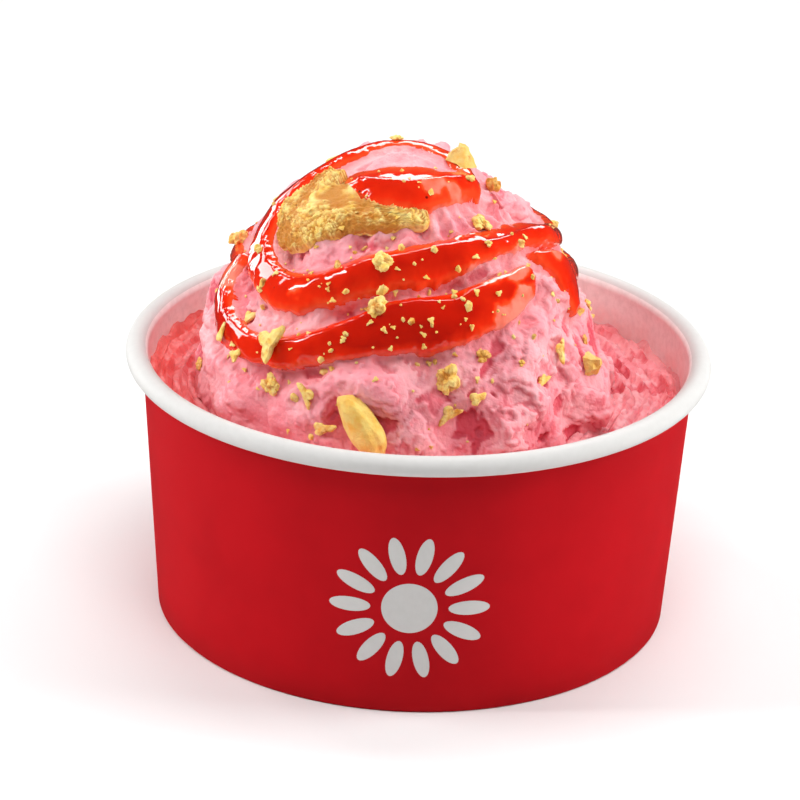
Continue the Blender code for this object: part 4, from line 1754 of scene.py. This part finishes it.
@dataclass
class BiscuitShard:
    """The flat broken biscuit under the edge of the sauce."""

    form: MoundForm
    azimuth: float = 217
    elevation: float = 65.5
    reach: list[float] = field(default_factory=lambda: [
        10.5, 14.5, 19.0, 15.0, 10.0, 7.5, 6.0, 6.0, 6.5, 7.0, 7.0, 6.0,
        6.5, 7.5, 8.2, 8.8, 9.5, 10.0, 9.8, 9.0, 8.3, 8.0, 8.0, 8.9])
    top: float = 2.0 * MM
    bottom: float = 1.2 * MM
    edge: float = 0.3
    cuts: int = 84
    bend: float = 0.45 * MM
    bend_size: float = 1.4 * MM
    cells: tuple[float, float] = (1.3 * MM, 0.5 * MM)
    wave_size: float = 3.2 * MM
    grain_size: float = 0.45 * MM
    sauce_over: float = 0.2 * MM

    def build(self, material: Material) -> Piece:
        """Make the biscuit and let it replace its solid.

        Args:
            material: the biscuit's material.

        Returns:
            The biscuit.
        """
        bm = cube_sphere(self.cuts, -2.0)
        outward, heights = self.plate(bm)
        shard = object_from(bm, "biscuit_shard_crumbly")
        radius = self.form.form_radius(outward)
        crumb, pit = self.crumbly(outward * radius[:, None])
        upper = smooth_step(heights, -0.2 * MM, 0.8 * MM)
        radius = radius + heights + upper * crumb
        gelato = MoundField.read(self.form, outward)
        wet = smooth_step(gelato.sauce, -0.5 * MM, 0.1 * MM)
        radius = radius + wet * (np.minimum(radius, gelato.base - self.sauce_over) - radius)
        set_coordinates(shard.data, np.array(self.form.centre) + outward * radius[:, None])
        set_attribute(shard.data, "pit", pit * upper)
        set_attribute(shard.data, "tone", np.zeros(len(radius)))
        dress(shard, material)
        return settle(shard, "biscuit", "biscuit_shard")

    def plate(self, bm: Shape) -> tuple[Numbers, Numbers]:
        """Spread a ball's points over the biscuit's ragged outline.

        Args:
            bm: the ball.

        Returns:
            The direction of each point from the mound's centre, and its height over the plain form.
        """
        east, north, out = axes_at(self.azimuth, self.elevation)
        centre = self.form.plain_point(out)
        stops = np.arange(len(self.reach) + 1) * math.tau / len(self.reach)
        towards, heights = [], []
        for vertex in bm.verts:
            ball = vertex.co
            angle = math.atan2(ball.y, ball.x) % math.tau
            reach = float(smooth_table(np.array([angle]), stops, self.reach + self.reach[:1])[0]) * MM
            around = Vector((math.cos(angle), math.sin(angle), 0))
            reach *= 1 + 0.07 * noise.noise(around * 5) + 0.05 * noise.noise(around * 13)
            flat = math.hypot(ball.x, ball.y)
            spread = flat ** (self.edge + 0.25) if flat > 0.001 else 0.0
            local = around * spread * reach
            towards.append((centre + east * local.x + north * local.y).normalized())
            level = self.top if ball.z > 0 else self.bottom
            heights.append(math.copysign(abs(ball.z) ** self.edge * level, ball.z))
        return np.array(towards), np.array(heights)

    def crumbly(self, points: Numbers) -> tuple[Numbers, Numbers]:
        """Relief of a broken biscuit face.

        Args:
            points: places on the face.

        Returns:
            The height of the crumbs there, and how deep in a hollow each point is, which is painted as shade.
        """
        heights, pit_shades = [], []
        for point in points:
            place = Vector(point)
            place += noise.noise_vector(place / self.bend_size) * self.bend
            nearest = [noise.voronoi(place / size)[0] for size in self.cells]
            valley, small = (max(0.0, 1 - 2.6 * (second - first)) for first, second, *_ in nearest)
            broad = noise.noise(place / self.wave_size)
            grain = noise.noise(place / self.grain_size)
            heights.append((0.75 * broad - 0.28 * valley - 0.34 * small + 0.14 * grain) * MM)
            pit_shades.append(min(1.0, 0.38 * valley + 0.42 * small + max(0.0, -1.3 * broad)))
        return np.array(heights), np.array(pit_shades)


@dataclass
class BiscuitFinger:
    """The smooth almond-shaped biscuit that leans on the mound's front."""

    form: MoundForm
    azimuth: float = 262
    elevation: float = 9
    length: float = 11.5 * MM
    width: float = 5.0 * MM
    thickness: float = 4.2 * MM
    turn: float = math.radians(-55)
    lift: float = 1.1 * MM
    browned_end: float = 0.45

    def build(self, material: Material) -> Piece:
        """Make the biscuit and let it replace its solid.

        Args:
            material: the biscuit's material.

        Returns:
            The biscuit.
        """
        axes = axes_at(self.azimuth, self.elevation)
        place = self.form.centre + self.form.plain_point(axes[2]) + axes[2] * self.lift
        bm = bmesh.new()
        bmesh.ops.create_uvsphere(bm, u_segments=64, v_segments=48, radius=0.5)
        tones = [0.7 * max(0.0, -2 * vertex.co.z - self.browned_end) for vertex in bm.verts]
        for vertex in bm.verts:
            end = min(0.999, abs(2 * vertex.co.z))
            fuller = (1 - end**3.0)**0.45 / math.sqrt(1 - end**2)
            bulge = min(1.5, fuller) * (0.94 + 0.10 * math.sin(3.1 * vertex.co.z + 0.6))
            ripple = 1 + 0.11 * noise.noise(vertex.co * 3.4) + 0.05 * noise.noise(vertex.co * 9)
            vertex.co = Vector((vertex.co.x * bulge, vertex.co.y * bulge, vertex.co.z)) * ripple
        turn = Matrix(axes).transposed() @ Matrix.Rotation(self.turn, 3, "Z")
        along = Matrix.Rotation(math.radians(90), 3, "Y")
        shape = Matrix.Diagonal((self.thickness, self.width, self.length))
        matrix = Matrix.Translation(place) @ (turn @ along @ shape).to_4x4()
        bmesh.ops.transform(bm, matrix=matrix, verts=bm.verts)
        finger = object_from(bm, "biscuit_finger_smooth")
        set_attribute(finger.data, "pit", np.zeros(len(tones)))
        set_attribute(finger.data, "tone", np.array(tones))
        dress(finger, material)
        return settle(finger, "biscuit", "biscuit_finger")


class LightRole(Enum):
    """What each soft light does."""

    KEY = "key_above"
    FRONT = "high_in_front"
    RIGHT = "right_side"
    LEFT = "left_side"
    BACK = "low_behind"
    SHEEN = "sheen_behind"
    SHEEN_SIDE = "sheen_high_left"
    SHEEN_LEFT = "sheen_low_left"
    CRESCENT = "crescent_left"
    GLINT = "glint_above"


@dataclass(frozen=True)
class SoftLight:
    """A rectangular soft light that faces the cup, with its length across the view."""

    role: LightRole
    place: tuple[float, float, float]
    size: tuple[float, float]
    power: float
    lights: bool = True
    mirrored: bool = True
    aim: ClassVar[tuple[float, float, float]] = (0.0, 0.0, 0.06)

    def build(self) -> None:
        """Hang the light."""
        data = bpy.data.lights.new(self.role.value, "AREA")
        data.shape = "RECTANGLE"
        data.size, data.size_y = self.size
        data.energy = self.power
        lamp = bpy.data.objects.new(self.role.value, data)
        out = (Vector(self.place) - Vector(self.aim)).normalized()
        along = Vector((0, 1, 0)).cross(out).normalized()
        turn = Matrix((along, out.cross(along), out)).transposed().to_4x4()
        lamp.matrix_world = Matrix.Translation(self.place) @ turn
        lamp.visible_diffuse = self.lights
        lamp.visible_glossy = self.mirrored
        bpy.context.scene.collection.objects.link(lamp)


@dataclass
class Studio:
    """Camera, floor and soft light."""

    eye: tuple[float, float, float] = (0.0, -0.5159, 0.2573)
    pan: float = -0.0054
    tilt: float = 0.4062
    roll: float = 0.0339
    lens: float = 152.85
    sensor: float = 36.0
    sky: float = 0.05
    floor_size: float = 6.0
    lights: list[SoftLight] = field(default_factory=lambda: [
        SoftLight(LightRole.KEY, (0.15, 0.20, 0.98), (0.70, 0.20), 3.1, mirrored=False),
        SoftLight(LightRole.FRONT, (0.08, -0.45, 0.90), (0.50, 0.40), 4.1, mirrored=False),
        SoftLight(LightRole.RIGHT, (0.60, 0.02, 0.26), (0.42, 0.30), 3.6, mirrored=False),
        SoftLight(LightRole.LEFT, (-0.60, 0.0, 0.26), (0.42, 0.30), 2.7, mirrored=False),
        SoftLight(LightRole.BACK, (0.0, 0.95, 0.60), (1.30, 0.14), 2.6, mirrored=False),
        SoftLight(LightRole.SHEEN, (0.10, 0.74, 0.90), (1.10, 0.46), 12.0, lights=False),
        SoftLight(LightRole.SHEEN_SIDE, (-0.90, 0.41, 0.53), (0.50, 0.24), 3.0, lights=False),
        SoftLight(LightRole.SHEEN_LEFT, (-0.75, 0.78, 0.28), (0.70, 0.24), 3.6, lights=False),
        SoftLight(LightRole.CRESCENT, (-0.85, -0.18, 0.74), (0.50, 0.06), 1.8),
        SoftLight(LightRole.GLINT, (-0.52, 0.36, 0.96), (0.14, 0.12), 1.0),
    ])

    def build(self) -> None:
        """Set up the camera, the lights, the sky and the floor."""
        self.place_camera()
        for light in self.lights:
            light.build()
        self.light_sky()
        self.lay_floor()
        bpy.context.scene.view_settings.view_transform = "Standard"

    def place_camera(self) -> None:
        """Stand the camera where the photograph was taken from."""
        look = Vector((math.sin(self.pan) * math.cos(self.tilt), math.cos(self.pan) * math.cos(self.tilt),
                       -math.sin(self.tilt)))
        level = look.cross(Vector((0, 0, 1))).normalized()
        over = level.cross(look)
        right = math.cos(self.roll) * level + math.sin(self.roll) * over
        up = math.cos(self.roll) * over - math.sin(self.roll) * level
        data = bpy.data.cameras.new("camera")
        data.lens = self.lens
        data.sensor_width = self.sensor
        camera = bpy.data.objects.new("camera", data)
        turn = Matrix((right, up, -look)).transposed().to_4x4()
        camera.matrix_world = Matrix.Translation(self.eye) @ turn
        bpy.context.scene.collection.objects.link(camera)
        bpy.context.scene.camera = camera

    def light_sky(self) -> None:
        """Light the scene evenly from all round."""
        world = bpy.data.worlds.new("soft_sky")
        world.use_nodes = True
        background = world.node_tree.nodes["Background"]
        background.inputs["Color"].default_value = (1.0, 1.0, 1.0, 1.0)
        background.inputs["Strength"].default_value = self.sky
        bpy.context.scene.world = world

    def lay_floor(self) -> None:
        """Lay the pale floor."""
        bm = bmesh.new()
        bmesh.ops.create_grid(bm, x_segments=8, y_segments=8, size=self.floor_size / 2)
        floor = object_from(bm, "pale_floor")
        floor.data.materials.append(FloorFinish().material())
        floor.visible_glossy = False


def main() -> None:
    """Build the cup, the gelato and its toppings, and the studio round them."""
    logging.basicConfig(level=logging.INFO, format="%(name)s: %(message)s")
    noise.seed_set(NOISE_SEED)
    form = MoundForm()
    cup = PaperCup()
    paper = WhitePaperFinish()
    gelato = GelatoFinish().material()
    Studio().build()
    white = paper.material(filmed=False)
    cup.build(PrintedPaperFinish().material(), white, paper.material(filmed=True))
    base = frame["nodes"]["cup_base"]
    base.data.materials.clear()
    base.data.materials.append(white)
    PrintedRosette(cup).build(white)
    bed = GelatoBed(cup).build(gelato)
    mound = GelatoMound(form).build(gelato)
    sauce = SauceCoat(form).build(SauceFinish().material())
    biscuit = BiscuitFinish().material()
    shard = BiscuitShard(form).build(biscuit)
    smooth = BiscuitFinish("smooth_biscuit", pale=(1.0, 0.78, 0.24), golden=(1.0, 0.60, 0.11),
                           brown=(0.70, 0.32, 0.05), patch=4.5 * MM, browned=0.7, roughness=0.5)
    BiscuitFinger(form).build(smooth.material())
    surface = Surface(form, [mound, sauce, bed, shard])
    shapes = CrumbShapes().build()
    plan = CrumbPlan()
    CrumbScatter("biscuit_crumbs", plan.large()).build(surface, shapes, biscuit)
    CrumbScatter("biscuit_specks", plan.small(), sink=0.12).build(surface, shapes, biscuit)
    for shape in list(shapes.objects):
        bpy.data.objects.remove(shape, do_unlink=True)
    bpy.data.collections.remove(shapes)


if __name__ == "__main__":
    main()
